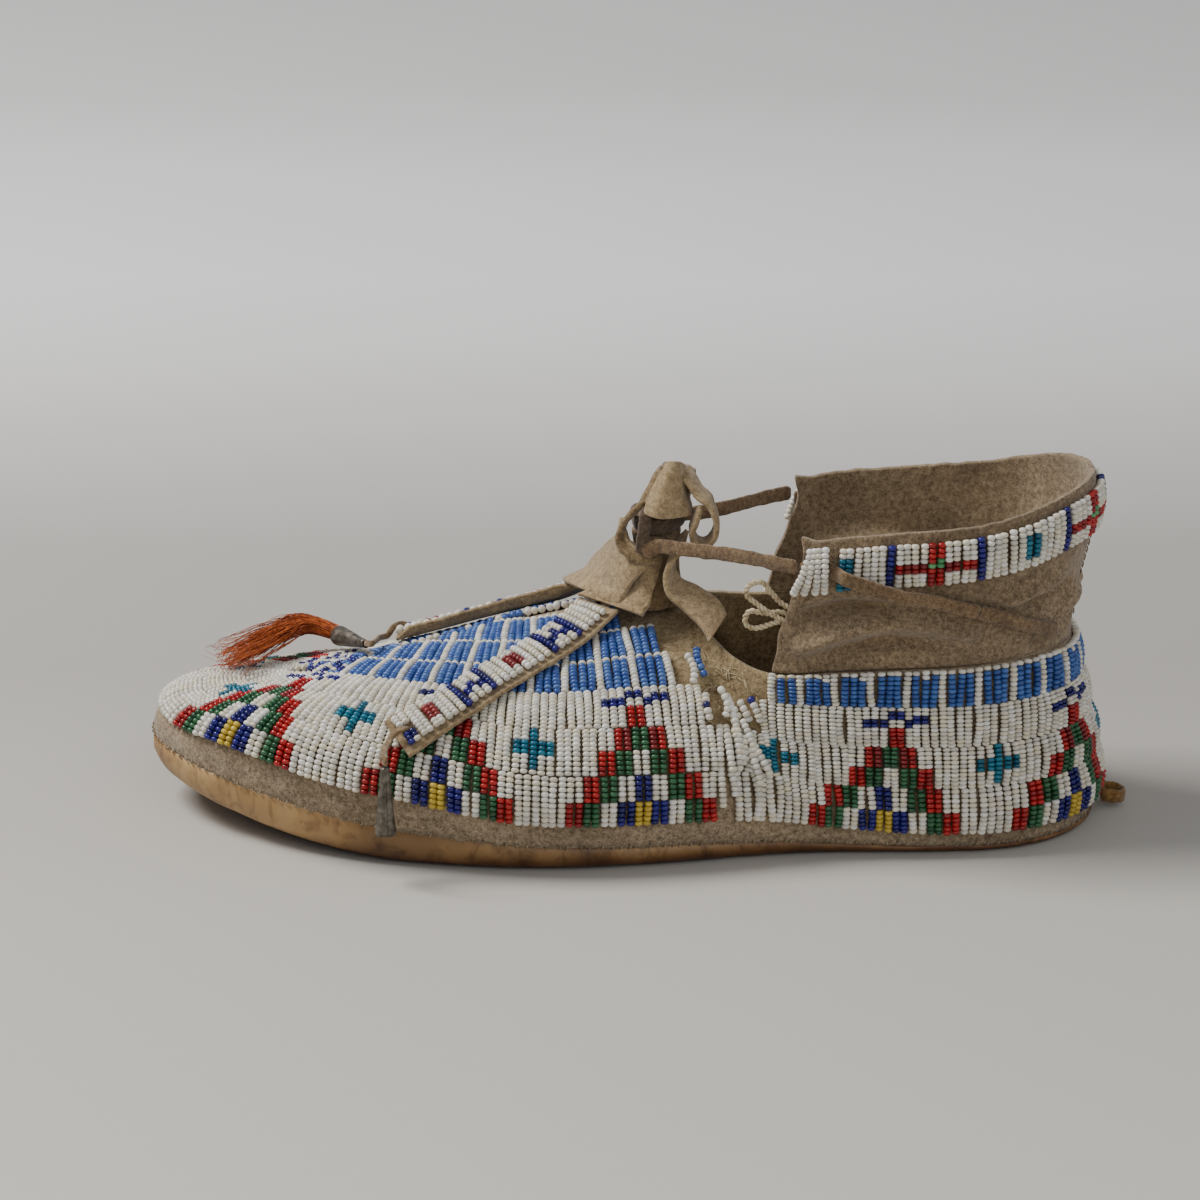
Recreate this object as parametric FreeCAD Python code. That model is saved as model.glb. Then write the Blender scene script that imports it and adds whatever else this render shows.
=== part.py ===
import FreeCAD, Part
import math
import os

os.makedirs("parts", exist_ok=True)
V = FreeCAD.Vector

# ---------------------------------------------------------------------------
# A left two-piece hard-sole moccasin, beaded in lanes.  Millimetres.
# The toe points to -X, the heel to +X, the outer (lateral) side to -Y, the
# inner (medial) side to +Y, and +Z is up.  The sole rests on Z = 0.
# ---------------------------------------------------------------------------
HIDE = 1.3            # thickness of the upper's hide
CUFF_HIDE = 1.5       # thickness of the cuff's hide
BEAD_OD = 2.2         # height of a beadwork lane: seed beads 2.0 to 2.1 across, a little proud
LANE_LIFT = 0.25      # lane above the hide it is sewn to
LANE_GAP = 0.35       # open line between neighbouring lanes
SOLE_T = 2.6          # rawhide thickness
SOLE_INSET = 8.5      # how far the flat of the sole lies inside its edge
TOE_SPRING = 15.0     # how much further back the tread starts at the turned-up toe
LAP = 0.05            # play between sole edge and upper
FORK_W = 10.0         # width of a tongue fork
FORK_HIDE = 1.2       # hide of a tongue fork
FORK_LIFT = 0.45      # rest clearance of a fork over the beadwork
CONE_L = 17.6         # tinklers: rolled tin cones
CONE_R_WIDE = 2.6
CONE_R_NARROW = 1.0
CONE_WALL = 0.4
THONG_W = 3.6         # lace: suede thong, width and thickness
THONG_T = 1.1
MARGIN_TOP = 2.2      # plain hide above the cuff's bead band
BAND_H = 11.2         # height of the cuff's bead band
BLUE_LANE = 11.0      # width of a vamp lane
FOOT_X = -2.61
FOOT_Y = 3.88

# The upper's columns, from the toe tip (row 0) to the heel seam (row 19).
# B* is the sole edge (X, Y lateral, Y medial, Z), R* the ridge of the vamp and
# then the top line of the beaded part (X, middle Y, half opening D, Z).
# al is the outward lean at the sole edge, be the fall at the top, h the fullness
# of the two ends, each for the lateral (L) and the medial (M) side.
# mg is the plain hide under the beadwork, b1 to b3 the lane edges above it.
ROWS = [
# i   Bx     ByL    ByM   Bz    Rx    Yc    D    Rz    alL beL h1L  h2L   alM beM h1M  h2M   mg   b1    b2    b3
(-121.5,    8.0,    8.0,   17.6,  -84.5,    4.2,    0.0,   33.3,      4,     10,    .32,    .50,      4,     12,    .32,    .50,    8.2,   11.6,   22.8,   34.0),
(-119.3,   -1.8,   17.0,   17.4,  -83.0,    4.1,    0.0,   33.6,      5,     11,    .34,    .52,      5,     15,    .33,    .44,    7.4,   11.7,   22.9,   34.2),
(-113.3,  -12.0,   25.4,   17.0,  -79.0,    4.0,    0.0,   34.4,      7,      9,    .39,    .54,      7,     20,    .32,    .36,    7.6,   11.8,   23.1,   34.5),
(-103.5,  -22.3,   32.6,   15.9,  -72.5,    3.9,    0.0,   35.9,      9,      8,    .45,    .55,      9,     22,    .31,    .30,    9.0,   12.0,   23.5,   35.0),
( -90.0,  -31.8,   38.2,   13.8,  -63.5,    3.9,    0.0,   38.1,     12,      8,    .47,    .52,     12,     22,    .31,    .27,    9.8,   12.2,   23.9,   35.4),
( -72.0,  -40.2,   42.8,   11.0,  -52.5,    4.2,    0.0,   41.2,     15,      8,    .47,    .48,     14,     21,    .32,    .25,    9.6,   12.3,   24.0,   35.5),
( -50.0,  -46.0,   45.6,    9.0,  -39.0,    4.6,    0.0,   45.0,     17,      9,    .46,    .45,     15,     19,    .36,    .25,    9.0,   12.3,   24.0,   35.0),
( -27.0,  -48.3,   45.8,    6.8,  -24.5,    4.8,    0.0,   49.2,     18,     10,    .46,    .44,     16,     15,    .38,    .25,    7.6,   12.3,   24.0,   35.0),
(  -5.0,  -46.8,   43.4,    5.9,   -9.0,    4.6,    0.0,   52.4,     17,     12,    .45,    .43,     16,     13,    .40,    .25,    7.4,   12.3,   24.0,   35.5),
(  14.0,  -43.2,   39.8,    5.4,    5.0,    4.0,    0.0,   54.6,     15,     14,    .44,    .42,     14,     14,    .43,    .25,    7.4,   12.3,   23.8,   35.2),
(  27.0,  -40.0,   36.6,    4.8,   15.0,    3.2,    8.5,   53.6,     13,     25,    .42,    .36,     12,     26,    .41,    .28,    7.0,   12.2,   23.5,   34.6),
(  37.5,  -37.6,   34.4,    4.2,   24.5,    2.4,   23.5,   49.0,     11,     50,    .38,    .30,     11,     52,    .38,    .30,    6.4,   12.1,   23.1,   33.8),
(  48.5,  -36.0,   33.3,    3.4,   36.0,    1.7,   31.5,   46.2,     10,     72,    .35,    .30,     10,     72,    .35,    .30,    5.6,   12.0,   22.8,   33.2),
(  61.0,  -35.2,   33.1,    2.7,   51.0,    1.2,   32.0,   46.8,      9,     82,    .33,    .33,      9,     82,    .33,    .33,    4.8,   11.9,   22.6,   32.9),
(   75.0, -34.8,  33.3,  2.2,  68.0, 0.8,31.3, 47.4,  9, 86, .33, .33,   9, 86, .33, .33,  4.1, 11.9, 22.6, 32.9),
(   89.3, -33.6,  32.3,  2.0,  84.3, 0.4,29.8, 47.9,  9, 86, .33, .33,   9, 86, .33, .33,  4.0, 11.9, 22.6, 32.9),
(  102.0, -29.0,  28.5,  2.0,  96.6, 0.2,25.4, 48.3,  9, 86, .33, .33,   9, 86, .33, .33,  4.0, 12.0, 22.8, 33.1),
(  111.6, -20.6,  20.4,  2.0, 105.6, 0.0,17.8, 48.2,  9, 86, .33, .33,   9, 86, .33, .33,  4.0, 12.0, 22.8, 33.1),
(  116.9, -10.2,  10.2,  2.0, 110.7, 0.0, 9.0, 47.8,  9, 86, .33, .33,   9, 86, .33, .33,  4.0, 11.9, 22.6, 32.9),
(  118.5,   0.0,   0.0,  2.0, 112.3, 0.0, 0.0, 47.6,  9, 86, .33, .33,   9, 86, .33, .33,  4.0, 11.9, 22.6, 32.9),
]
NI = len(ROWS) - 1   # 19
COL = {k: n for n, k in enumerate("Bx ByL ByM Bz Rx Yc D Rz alL beL h1L h2L alM beM h1M h2M mg b1 b2 b3".split())}

def solve(A, b):
    n = len(b)
    M = [list(r) + [v] for r, v in zip(A, b)]
    for i in range(n):
        p = max(range(i, n), key=lambda k: abs(M[k][i]))
        M[i], M[p] = M[p], M[i]
        for k in range(i + 1, n):
            f = M[k][i] / M[i][i]
            if f:
                for j in range(i, n + 1):
                    M[k][j] -= f * M[i][j]
    x = [0.0] * n
    for i in range(n - 1, -1, -1):
        x[i] = (M[i][n] - sum(M[i][j] * x[j] for j in range(i + 1, n))) / M[i][i]
    return x

class Ring:
    """C2 periodic cubic through values at integer stations"""
    def __init__(self, v):
        n = len(v); self.n = n; self.v = v
        A = [[0.0] * n for _ in range(n)]; b = [0.0] * n
        for i in range(n):
            A[i][(i - 1) % n] = 1.0; A[i][i] = 4.0; A[i][(i + 1) % n] = 1.0
            b[i] = 6.0 * (v[(i + 1) % n] - 2 * v[i] + v[(i - 1) % n])
        self.m = solve(A, b)
    def __call__(self, s, d=0):
        n = self.n
        k = math.floor(s); f = s - k; a = k % n; c = (a + 1) % n
        v0, v1, m0, m1 = self.v[a], self.v[c], self.m[a], self.m[c]
        g = 1 - f
        if d == 0:
            return g * v0 + f * v1 + ((g**3 - g) * m0 + (f**3 - f) * m1) / 6
        return v1 - v0 + (-(3 * g * g - 1) * m0 + (3 * f * f - 1) * m1) / 6

def ring_of(even, name=None, odd=None):
    lat = [r[COL[even]] for r in ROWS]
    med = [r[COL[odd or even]] for r in ROWS]
    return Ring(lat + med[-2:0:-1])

RBx = ring_of("Bx"); RBy = ring_of("ByL", odd="ByM"); 
REV = {k: ring_of(k) for k in ("Bz", "Rx", "Yc", "Rz", "mg", "b1", "b2", "b3")}
for _k in ("al", "be", "h1", "h2"):
    REV[_k] = ring_of(_k + "L", odd=_k + "M")
def Dval(i):
    i = min(max(i, 0.0), float(NI))
    if i <= 9: return 0.0
    k = min(int(math.floor(i)), NI - 1); f = i - k
    d = [r[COL["D"]] for r in ROWS]
    def tan(j):
        if j <= 9: return 0.0
        if j >= NI: return d[NI] - d[NI - 1]
        return 0.5 * (d[j + 1] - d[j - 1])
    p0, p1, m0, m1 = d[k], d[k + 1], tan(k), tan(k + 1)
    if k + 1 == NI: m1 = -(9.3)
    f2, f3 = f * f, f * f * f
    return (2*f3-3*f2+1)*p0 + (f3-2*f2+f)*m0 + (-2*f3+3*f2)*p1 + (f3-f2)*m1

def station(side, i):
    """ring parameter of side (-1 lateral, +1 medial) at row i"""
    return i if side < 0 else 2 * NI - i

def column(side, i):
    s = station(side, i)
    B = (RBx(s), RBy(s), REV["Bz"](s))
    tx, ty = RBx(s, 1), RBy(s, 1)
    L = math.hypot(tx, ty)
    # ring runs toe -> lateral -> heel -> medial: outward is to the right-hand of travel... 
    N = (ty / L, -tx / L)
    R = (REV["Rx"](s), REV["Yc"](s) + side * Dval(i), REV["Rz"](s))
    al, be = math.radians(REV["al"](s)), math.radians(REV["be"](s))
    ch = math.dist(B, R)
    h1, h2 = REV["h1"](s) * ch, REV["h2"](s) * ch
    C1 = (B[0] + h1 * math.sin(al) * N[0], B[1] + h1 * math.sin(al) * N[1], B[2] + h1 * math.cos(al))
    C2 = (R[0] + h2 * math.cos(be) * N[0], R[1] + h2 * math.cos(be) * N[1], R[2] - h2 * math.sin(be))
    return B, C1, C2, R, N

def bez(P, t):
    g = 1 - t
    return tuple(g**3 * a + 3*g*g*t * b + 3*g*t*t * c + t**3 * d for a, b, c, d in zip(*P))

def profile(side, i, n=40):
    B, C1, C2, R, N = column(side, i)
    pts = [bez((B, C1, C2, R), k / n) for k in range(n + 1)]
    arc = [0.0]
    for a, b in zip(pts, pts[1:]):
        arc.append(arc[-1] + math.dist(a, b))
    return pts, arc

def at_arc(prof, a):
    pts, arc = prof
    if a <= 0: return pts[0]
    for k in range(1, len(arc)):
        if arc[k] >= a:
            f = (a - arc[k-1]) / (arc[k] - arc[k-1])
            return tuple(p + f * (q - p) for p, q in zip(pts[k-1], pts[k]))
    return pts[-1]

def P(s, t):
    n2 = 2 * NI
    s = s % n2
    side = -1 if s <= NI else 1
    i = s if side < 0 else n2 - s
    B, C1, C2, R, N = column(side, i)
    return bez((B, C1, C2, R), t)

def sub(a, b): return tuple(x - y for x, y in zip(a, b))
def cross(a, b): return (a[1]*b[2]-a[2]*b[1], a[2]*b[0]-a[0]*b[2], a[0]*b[1]-a[1]*b[0])
def unit(a):
    l = math.sqrt(sum(x*x for x in a)); return tuple(x / l for x in a)
def normal_raw(s, t):
    e = 0.04
    t = min(t, 0.985)
    ds = sub(P(s + e, t), P(s - e, t)); dt = sub(P(s, min(t + .01, 1)), P(s, t - .01 if t > .01 else t))
    return unit(cross(ds, dt))
def normal(s, t):
    n = normal_raw(s, t)
    n2 = 2 * NI; s = s % n2; i = s if s <= NI else n2 - s
    if i <= 9.6 and t > 0.9:
        m = normal_raw(n2 - s, t); w = 0.5 * (t - 0.9) / 0.1 * (1 if i <= 9 else (9.6 - i) / .6)
        n = unit(tuple((1 - w) * a + w * b for a, b in zip(n, m)))
    return n


# ---------------------------------------------------------------------------
# helpers: surfaces from a grid of control points, closed solids from surfaces
# ---------------------------------------------------------------------------
def profile_s(s, n=40):
    s = s % (2 * NI)
    side = -1 if s <= NI else 1
    return profile(side, s if side < 0 else 2 * NI - s, n)


def t_of_arc(pr, a):
    """profile parameter at arc length a from the sole edge"""
    pts, arc = pr
    n = len(arc) - 1
    if a <= 0:
        return 0.0
    for k in range(1, n + 1):
        if arc[k] >= a:
            return (k - 1 + (a - arc[k - 1]) / (arc[k] - arc[k - 1])) / n
    return 1.0


def length_s(s):
    return profile_s(s)[1][-1]


def spot(s, a, off):
    """point at station s, arc length a from the sole edge, off along the normal"""
    pr = profile_s(s)
    t = t_of_arc(pr, a)
    p, n = P(s, t), normal(s, t)
    return V(*(x + off * y for x, y in zip(p, n)))


def knots(n, deg):
    m = n - deg
    return [i / m for i in range(m + 1)], [deg + 1] + [1] * (m - 1) + [deg + 1]


def bs_surface(grid, du=3, dv=3):
    nu, nv = len(grid), len(grid[0])
    du, dv = min(du, nu - 1), min(dv, nv - 1)
    ku, mu = knots(nu, du)
    kv, mv = knots(nv, dv)
    f = Part.BSplineSurface()
    f.buildFromPolesMultsKnots(grid, mu, mv, ku, kv, False, False, du, dv)
    return f


def row(grid, j):
    return [r[j] for r in grid]


def strip(a, b, du=3):
    """ruled surface between two rows of control points"""
    return bs_surface([[p, q] for p, q in zip(a, b)], du, 1).toShape()


def solid_of(faces, name, tol=0.004):
    sh = Part.makeCompound(faces)
    sh.sewShape(tol)
    shells = sh.Shells
    assert len(shells) == 1, (name, "shells", len(shells))
    so = Part.Solid(shells[0])
    if so.Volume < 0:
        so.reverse()
    assert so.isValid(), (name, "not valid")
    assert so.Volume > 0, (name, "volume")
    return so


def slab(outer, inner, name, du=3, dv=3):
    """closed solid between two grids of control points of the same size"""
    faces = [bs_surface(outer, du, dv).toShape(), bs_surface(inner, du, dv).toShape()]
    faces.append(strip(row(outer, 0), row(inner, 0), du))
    faces.append(strip(row(outer, -1), row(inner, -1), du))
    faces.append(strip(outer[0], inner[0], dv))
    faces.append(strip(outer[-1], inner[-1], dv))
    return solid_of(faces, name)


def steps(a, b, n):
    return [a + (b - a) * k / n for k in range(n + 1)]


def two_sided(fn, name, n=36, m=6):
    """closed ring round the whole shoe: fn(s, v) gives (outer, inner) points"""
    faces = []
    for s0, s1 in ((0.0, float(NI)), (float(NI), 2.0 * NI)):
        pairs = [[fn(s, v) for v in steps(0, 1, m)] for s in steps(s0, s1, n)]
        o = [[p[0] for p in r] for r in pairs]
        i = [[p[1] for p in r] for r in pairs]
        faces += [bs_surface(o).toShape(), bs_surface(i).toShape(), strip(row(o, 0), row(i, 0)), strip(row(o, -1), row(i, -1))]
    return solid_of(faces, name)


OUT = {}


def keep(name, shape):
    OUT[name] = shape


# ---------------------------------------------------------------------------
# upper: one hide, folded over the foot, joined at the heel
# ---------------------------------------------------------------------------
NU_UP, NT_UP = 76, 16            # control points along a side, and up a column
CUT_COL = 33                     # the ridge is closed as far as this column
# columns spread so that every column up to CUT_COL + 3 lies on the ridge
def up_station(k):
    kc = CUT_COL + 3
    if k <= kc:
        return 9.0 * k / kc
    return 9.0 + (NI - 9.0) * (k - kc) / (NU_UP - kc)


def up_grid(side, off):
    g = []
    for k in range(NU_UP + 1):
        i = up_station(k)
        s = station(side, i)
        g.append([V(*(x + off * y for x, y in zip(P(s, t), normal(s, t)))) for t in steps(0, 1, NT_UP)])
    for r in g:
        r[0] = r[0] + V(0, 0, LAP)
    return g


def upper():
    faces = []
    for side in (-1, 1):
        o, i = up_grid(side, 0.0), up_grid(side, -HIDE)
        so, si = bs_surface(o), bs_surface(i)
        ks = so.getUKnots()
        cut = ks[CUT_COL]
        for s in (so, si):
            a, b = s.copy(), s.copy()
            a.segment(0, cut, 0, 1)
            b.segment(cut, 1, 0, 1)
            faces += [a.toShape(), b.toShape()]
        bottom = bs_surface([[p, q] for p, q in zip(row(o, 0), row(i, 0))], 3, 1)
        top = bs_surface([[p, q] for p, q in zip(row(o, -1), row(i, -1))], 3, 1)
        b1, b2, t2 = bottom.copy(), bottom.copy(), top.copy()
        b1.segment(0, cut, 0, 1)
        b2.segment(cut, 1, 0, 1)
        t2.segment(cut, 1, 0, 1)
        faces += [b1.toShape(), b2.toShape(), t2.toShape()]
    return solid_of(faces, "upper", 0.003)


# ---------------------------------------------------------------------------
# rawhide sole: a flat tread with its edge turned up all round
# ---------------------------------------------------------------------------
def outline(s, inset, z):
    x, y = RBx(s), RBy(s)
    tx, ty = RBx(s, 1), RBy(s, 1)
    L = math.hypot(tx, ty)
    return V(x - inset * ty / L, y + inset * tx / L, z)


def sole():
    faces = []
    lower, upper_ = [], []
    for s0, s1 in ((0.0, float(NI)), (float(NI), 2.0 * NI)):
        st = steps(s0, s1, 40)
        g = []
        h = []
        for s in st:
            ze = REV["Bz"](s)
            toe = max(0.0, min(1.0, (-60.0 - RBx(s)) / 60.0))
            ins = SOLE_INSET + 9.0 * toe
            f1, f2, f3, f4 = 0.62 + 0.16 * toe, 0.30 + 0.32 * toe, 0.10 + 0.36 * toe, 0.14 * toe
            q2, q3, q4 = 0.6 + 0.3 * toe, (0.30 - 0.06 * toe) * ins, 0.62 * ins
            d3, d4, d5 = (V(TOE_SPRING * toe * w, 0, 0) for w in (0.05, 0.5, 1.0))
            g.append([outline(s, 0.0, ze), outline(s, -0.25, ze * f1), outline(s, q2, ze * f2), outline(s, q3, ze * f3) + d3, outline(s, q4, ze * f4) + d4, outline(s, ins, 0.0) + d5])
            h.append([outline(s, SOLE_T * 0.8, ze), outline(s, SOLE_T * 0.85, ze * f1 + 0.5), outline(s, SOLE_T + 0.3 * toe, ze * f2 + 1.6), outline(s, q3 + 1.6, ze * f3 + SOLE_T) + d3, outline(s, q4 + 1.4, ze * f4 + SOLE_T) + d4, outline(s, ins + 1.2, SOLE_T) + d5])
        faces += [bs_surface(g).toShape(), bs_surface(h).toShape(), strip(row(g, 0), row(h, 0))]
        lower.append(row(g, -1))
        upper_.append(row(h, -1))
    for rows_ in (lower, upper_):
        es = []
        for r in rows_:
            ku, mu = knots(len(r), 3)
            c = Part.BSplineCurve()
            c.buildFromPolesMultsKnots(r, mu, ku, False, 3)
            es.append(c.toShape())
        faces.append(Part.Face(Part.Wire(es)))
    return solid_of(faces, "rawhide_sole", 0.005)


# ---------------------------------------------------------------------------
# beadwork lanes: skins one bead thick over the hide
# ---------------------------------------------------------------------------
def lane_edges(s, k):
    """arc lengths of lane k's lower and upper edge at station s"""
    mg = REV["mg"](s)
    e = [0.0, REV["b1"](s), REV["b2"](s), REV["b3"](s)]
    if k < 3:
        return mg + e[k] + LANE_GAP / 2, mg + e[k + 1] - LANE_GAP / 2
    top = length_s(s) - 0.3
    return mg + e[3] + LANE_GAP / 2, top


def lane_skin(s, v, lo, hi):
    a = lo + (hi - lo) * v
    return spot(s, a, LANE_LIFT + BEAD_OD), spot(s, a, LANE_LIFT)


def lane_ring(k, name):
    return two_sided(lambda s, v: lane_skin(s, v, *lane_edges(s, k)), name, 40, 5)


def lane_part(s0, s1, edges, name, n=30, m=5):
    pairs = []
    for s in steps(s0, s1, n):
        lo, hi = edges(s)
        pairs.append([lane_skin(s, v, lo, hi) for v in steps(0, 1, m)])
    return slab([[p[0] for p in r] for r in pairs], [[p[1] for p in r] for r in pairs], name)


FLEX_FRONT, FLEX_BACK = 9.15, 11.75       # rows where the flex zone is bare


def vamp_lane(side, k, name):
    """lane k (0, 1, 2) of the blue panel, on one side of the ridge"""
    def edges(s):
        mg = REV["mg"](s)
        lo = mg + REV["b3"](s) + k * BLUE_LANE + LANE_GAP / 2
        hi = min(mg + REV["b3"](s) + (k + 1) * BLUE_LANE - LANE_GAP / 2, length_s(s) - 1.1)
        return lo, hi
    end = (9.0, 8.8, 8.3)[k]
    i = 2.0
    while i < end:
        lo, hi = edges(station(side, i))
        if hi - lo > 1.6:
            break
        i += 0.05
    if i > end - 1.2:
        return None
    a, b = station(side, i), station(side, end)
    return lane_part(a, b, edges, name, 26, 4)


# ---------------------------------------------------------------------------
# cuff: a band of hide sewn to the top line, open at the front
# ---------------------------------------------------------------------------
# rows from the front edge (12) to the heel (19): top X, half width, Z, flare
CUFF = [
(12.0,  43.5, 30.0, 80.8, 0.4),
(13.0,  54.0, 31.4, 82.6, 0.6),
(14.0,  69.0, 31.8, 83.8, 0.6),
(15.0,  85.0, 31.4, 85.2, 0.8),
(16.0,  99.0, 27.6, 87.6, 1.2),
(17.0, 109.2, 19.4, 90.0, 1.7),
(18.0, 115.4, 10.0, 91.0, 2.2),
(19.0, 117.3,  0.0, 91.0, 2.4),
]
MEDIAL_DROP = 2.5                 # the medial top edge sits this much lower at the front
MEDIAL_IN = 1.5                   # and this much further in


def hermite(tab, i, c, odd=False):
    """smooth value of column c at row i, mirrored past the heel"""
    x = min(max(i, 12.0), 19.0) - 12.0
    k = min(int(x), 6)
    f = x - k
    v = [r[c] for r in tab]
    def tan(j):
        if j == 0:
            return v[1] - v[0]
        if j == 7:
            return (v[7] - v[6]) if odd else 0.0
        return 0.5 * (v[j + 1] - v[j - 1])
    f2, f3 = f * f, f * f * f
    return (2*f3-3*f2+1)*v[k] + (f3-2*f2+f)*tan(k) + (-2*f3+3*f2)*v[k+1] + (f3-f2)*tan(k+1)


CUFF_GAP = 0.4                    # cuff above the top line of the beaded part


def cuff_col(side, i):
    s = station(side, i)
    B, C1, C2, R, N = column(side, i)
    U = (hermite(CUFF, i, 1), side * hermite(CUFF, i, 2, True), hermite(CUFF, i, 3))
    if side > 0:
        k = min(max((19.0 - i) / 4.0, 0.0), 1.0)
        k = k * k * (3 - 2 * k)
        U = (U[0], U[1] - MEDIAL_IN * k, U[2] - MEDIAL_DROP * k)
    fl = hermite(CUFF, i, 4)
    H = U[2] - R[2]
    base = (R[0], R[1], R[2] + CUFF_GAP)
    C1 = (base[0] - 0.3 * fl * N[0], base[1] - 0.3 * fl * N[1], base[2] + 0.36 * H)
    C2 = (U[0] + fl * N[0], U[1] + fl * N[1], U[2] - 0.36 * H)
    return base, C1, C2, U, N


def cuff_pt(side, i, t, off):
    def q(ii, tt):
        B, C1, C2, U, N = cuff_col(side, ii)
        return bez((B, C1, C2, U), tt)
    e = 0.05
    if i + e > 19.0:
        a, b = q(i - e, t), q(i, t)
        if i > 18.99:
            n = (1.0, 0.0, 0.0)
            dt = sub(q(i, min(1, t + .02)), q(i, max(0, t - .02)))
            n = unit((dt[2], 0.0, -dt[0]))
            p = q(i, t)
            return V(*(x + off * y for x, y in zip(p, n)))
    a, b = q(max(i - e, 12.0), t), q(min(i + e, 19.0), t)
    ds = sub(b, a)
    dt = sub(q(i, min(1, t + .02)), q(i, max(0, t - .02)))
    n = unit(cross(ds, dt))
    if side > 0:
        n = tuple(-x for x in n)
    p = q(i, t)
    return V(*(x + off * y for x, y in zip(p, n)))


def cuff_len(side, i):
    pts = [bez(cuff_col(side, i)[:4], k / 20) for k in range(21)]
    return sum(math.dist(a, b) for a, b in zip(pts, pts[1:]))


def cuff_panel(side, i0, i1, t0, t1, off0, off1, name, n=16, m=6):
    o = [[cuff_pt(side, i, t, off1) for t in steps(t0, t1, m)] for i in steps(i0, i1, n)]
    q = [[cuff_pt(side, i, t, off0) for t in steps(t0, t1, m)] for i in steps(i0, i1, n)]
    return slab(o, q, name)


def band_t(side, i):
    L = cuff_len(side, i)
    return 1 - (MARGIN_TOP + BAND_H) / L, 1 - MARGIN_TOP / L


def band_panel(side, i0, i1, name, n=16, m=4):
    o, q = [], []
    for i in steps(i0, i1, n):
        t0, t1 = band_t(side, i)
        o.append([cuff_pt(side, i, t, LANE_LIFT + BEAD_OD) for t in steps(t0, t1, m)])
        q.append([cuff_pt(side, i, t, LANE_LIFT) for t in steps(t0, t1, m)])
    return slab(o, q, name)


def back_panels(fn_pair, i0, name, n=14, m=6):
    """closed U-shaped solid from the lateral split round the heel to the medial split"""
    faces = []
    grids = []
    for side in (-1, 1):
        pairs = [[fn_pair(side, i, v) for v in steps(0, 1, m)] for i in steps(i0, 19.0, n)]
        o = [[p[0] for p in r] for r in pairs]
        q = [[p[1] for p in r] for r in pairs]
        grids.append((o, q))
    for o, q in grids:
        for g in (o, q):
            for k in range(m + 1):
                g[-1][k] = V(g[-1][k].x, 0.0, g[-1][k].z)
    for o, q in grids:
        faces += [bs_surface(o).toShape(), bs_surface(q).toShape(), strip(row(o, 0), row(q, 0)), strip(row(o, -1), row(q, -1)), strip(o[0], q[0])]
    return solid_of(faces, name)


SPLIT = 15.15                     # row where a cuff wing meets the cuff's back
SPLIT_GAP = 0.035                 # in rows, about 0.5 mm


# ---------------------------------------------------------------------------
# ribbons, cones and threads
# ---------------------------------------------------------------------------
def ribbon(pts, width_dir, w, th, name, du=3):
    """flat thong along control points; width_dir is a list of directions or one"""
    n = len(pts)
    wd = width_dir if isinstance(width_dir, list) else [width_dir] * n
    a, b = [], []
    for k in range(n):
        t = pts[min(k + 1, n - 1)] - pts[max(k - 1, 0)]
        t.normalize()
        u = V(wd[k])
        u = u - t * u.dot(t)
        u.normalize()
        c = t.cross(u)
        c.normalize()
        a.append([pts[k] - u * (w / 2) + c * (th / 2), pts[k] + u * (w / 2) + c * (th / 2)])
        b.append([pts[k] - u * (w / 2) - c * (th / 2), pts[k] + u * (w / 2) - c * (th / 2)])
    return slab(a, b, name, du, 1)


def cone(p, d, l, r0, r1, wall):
    """rolled tin cone from its narrow end p along d, open at both ends"""
    d = V(d)
    d.normalize()
    o = Part.makeCone(r0, r1, l, p, d)
    i = Part.makeCone(max(r0 - wall, 0.25), r1 - wall, l + 0.02, p - d * 0.01, d)
    return o.cut(i)


def rod(p, q, r):
    d = q - p
    return Part.makeCylinder(r, d.Length, p, d)


def loft(sections, name):
    wires = []
    for c, ax, ay, tilt in sections:
        pts = []
        for k in range(12):
            a = 2 * math.pi * k / 12
            pts.append(V(c[0] + ax * math.cos(a), c[1] + ay * math.sin(a), c[2] + tilt * math.cos(a)))
        cu = Part.BSplineCurve()
        cu.interpolate(pts, PeriodicFlag=True)
        wires.append(Part.Wire(cu.toShape()))
    so = Part.makeLoft(wires, True, False)
    assert so.isValid() and so.Volume > 0, name
    return so


# ---------------------------------------------------------------------------
# build
# ---------------------------------------------------------------------------
keep("rawhide_sole", sole())
keep("upper", upper())
keep("bead_lane_1", lane_ring(0, "bead_lane_1"))
keep("bead_lane_2", lane_ring(1, "bead_lane_2"))
keep("bead_lane_3_vamp", lane_part(-FLEX_FRONT, FLEX_FRONT, lambda s: lane_edges(s, 2), "bead_lane_3_vamp", 60, 4))
keep("bead_lane_3_heel", lane_part(FLEX_BACK, 2 * NI - FLEX_BACK, lambda s: lane_edges(s, 2), "bead_lane_3_heel", 50, 4))
keep("bead_lane_4_heel", lane_part(FLEX_BACK + 0.2, 2 * NI - FLEX_BACK - 0.2, lambda s: lane_edges(s, 3), "bead_lane_4_heel", 50, 4))
for side, word in ((-1, "lateral"), (1, "medial")):
    for k in range(3):
        so = vamp_lane(side, k, "vamp")
        if so is not None:
            keep("vamp_lane_%d_%s" % (k + 1, word), so)

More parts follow.
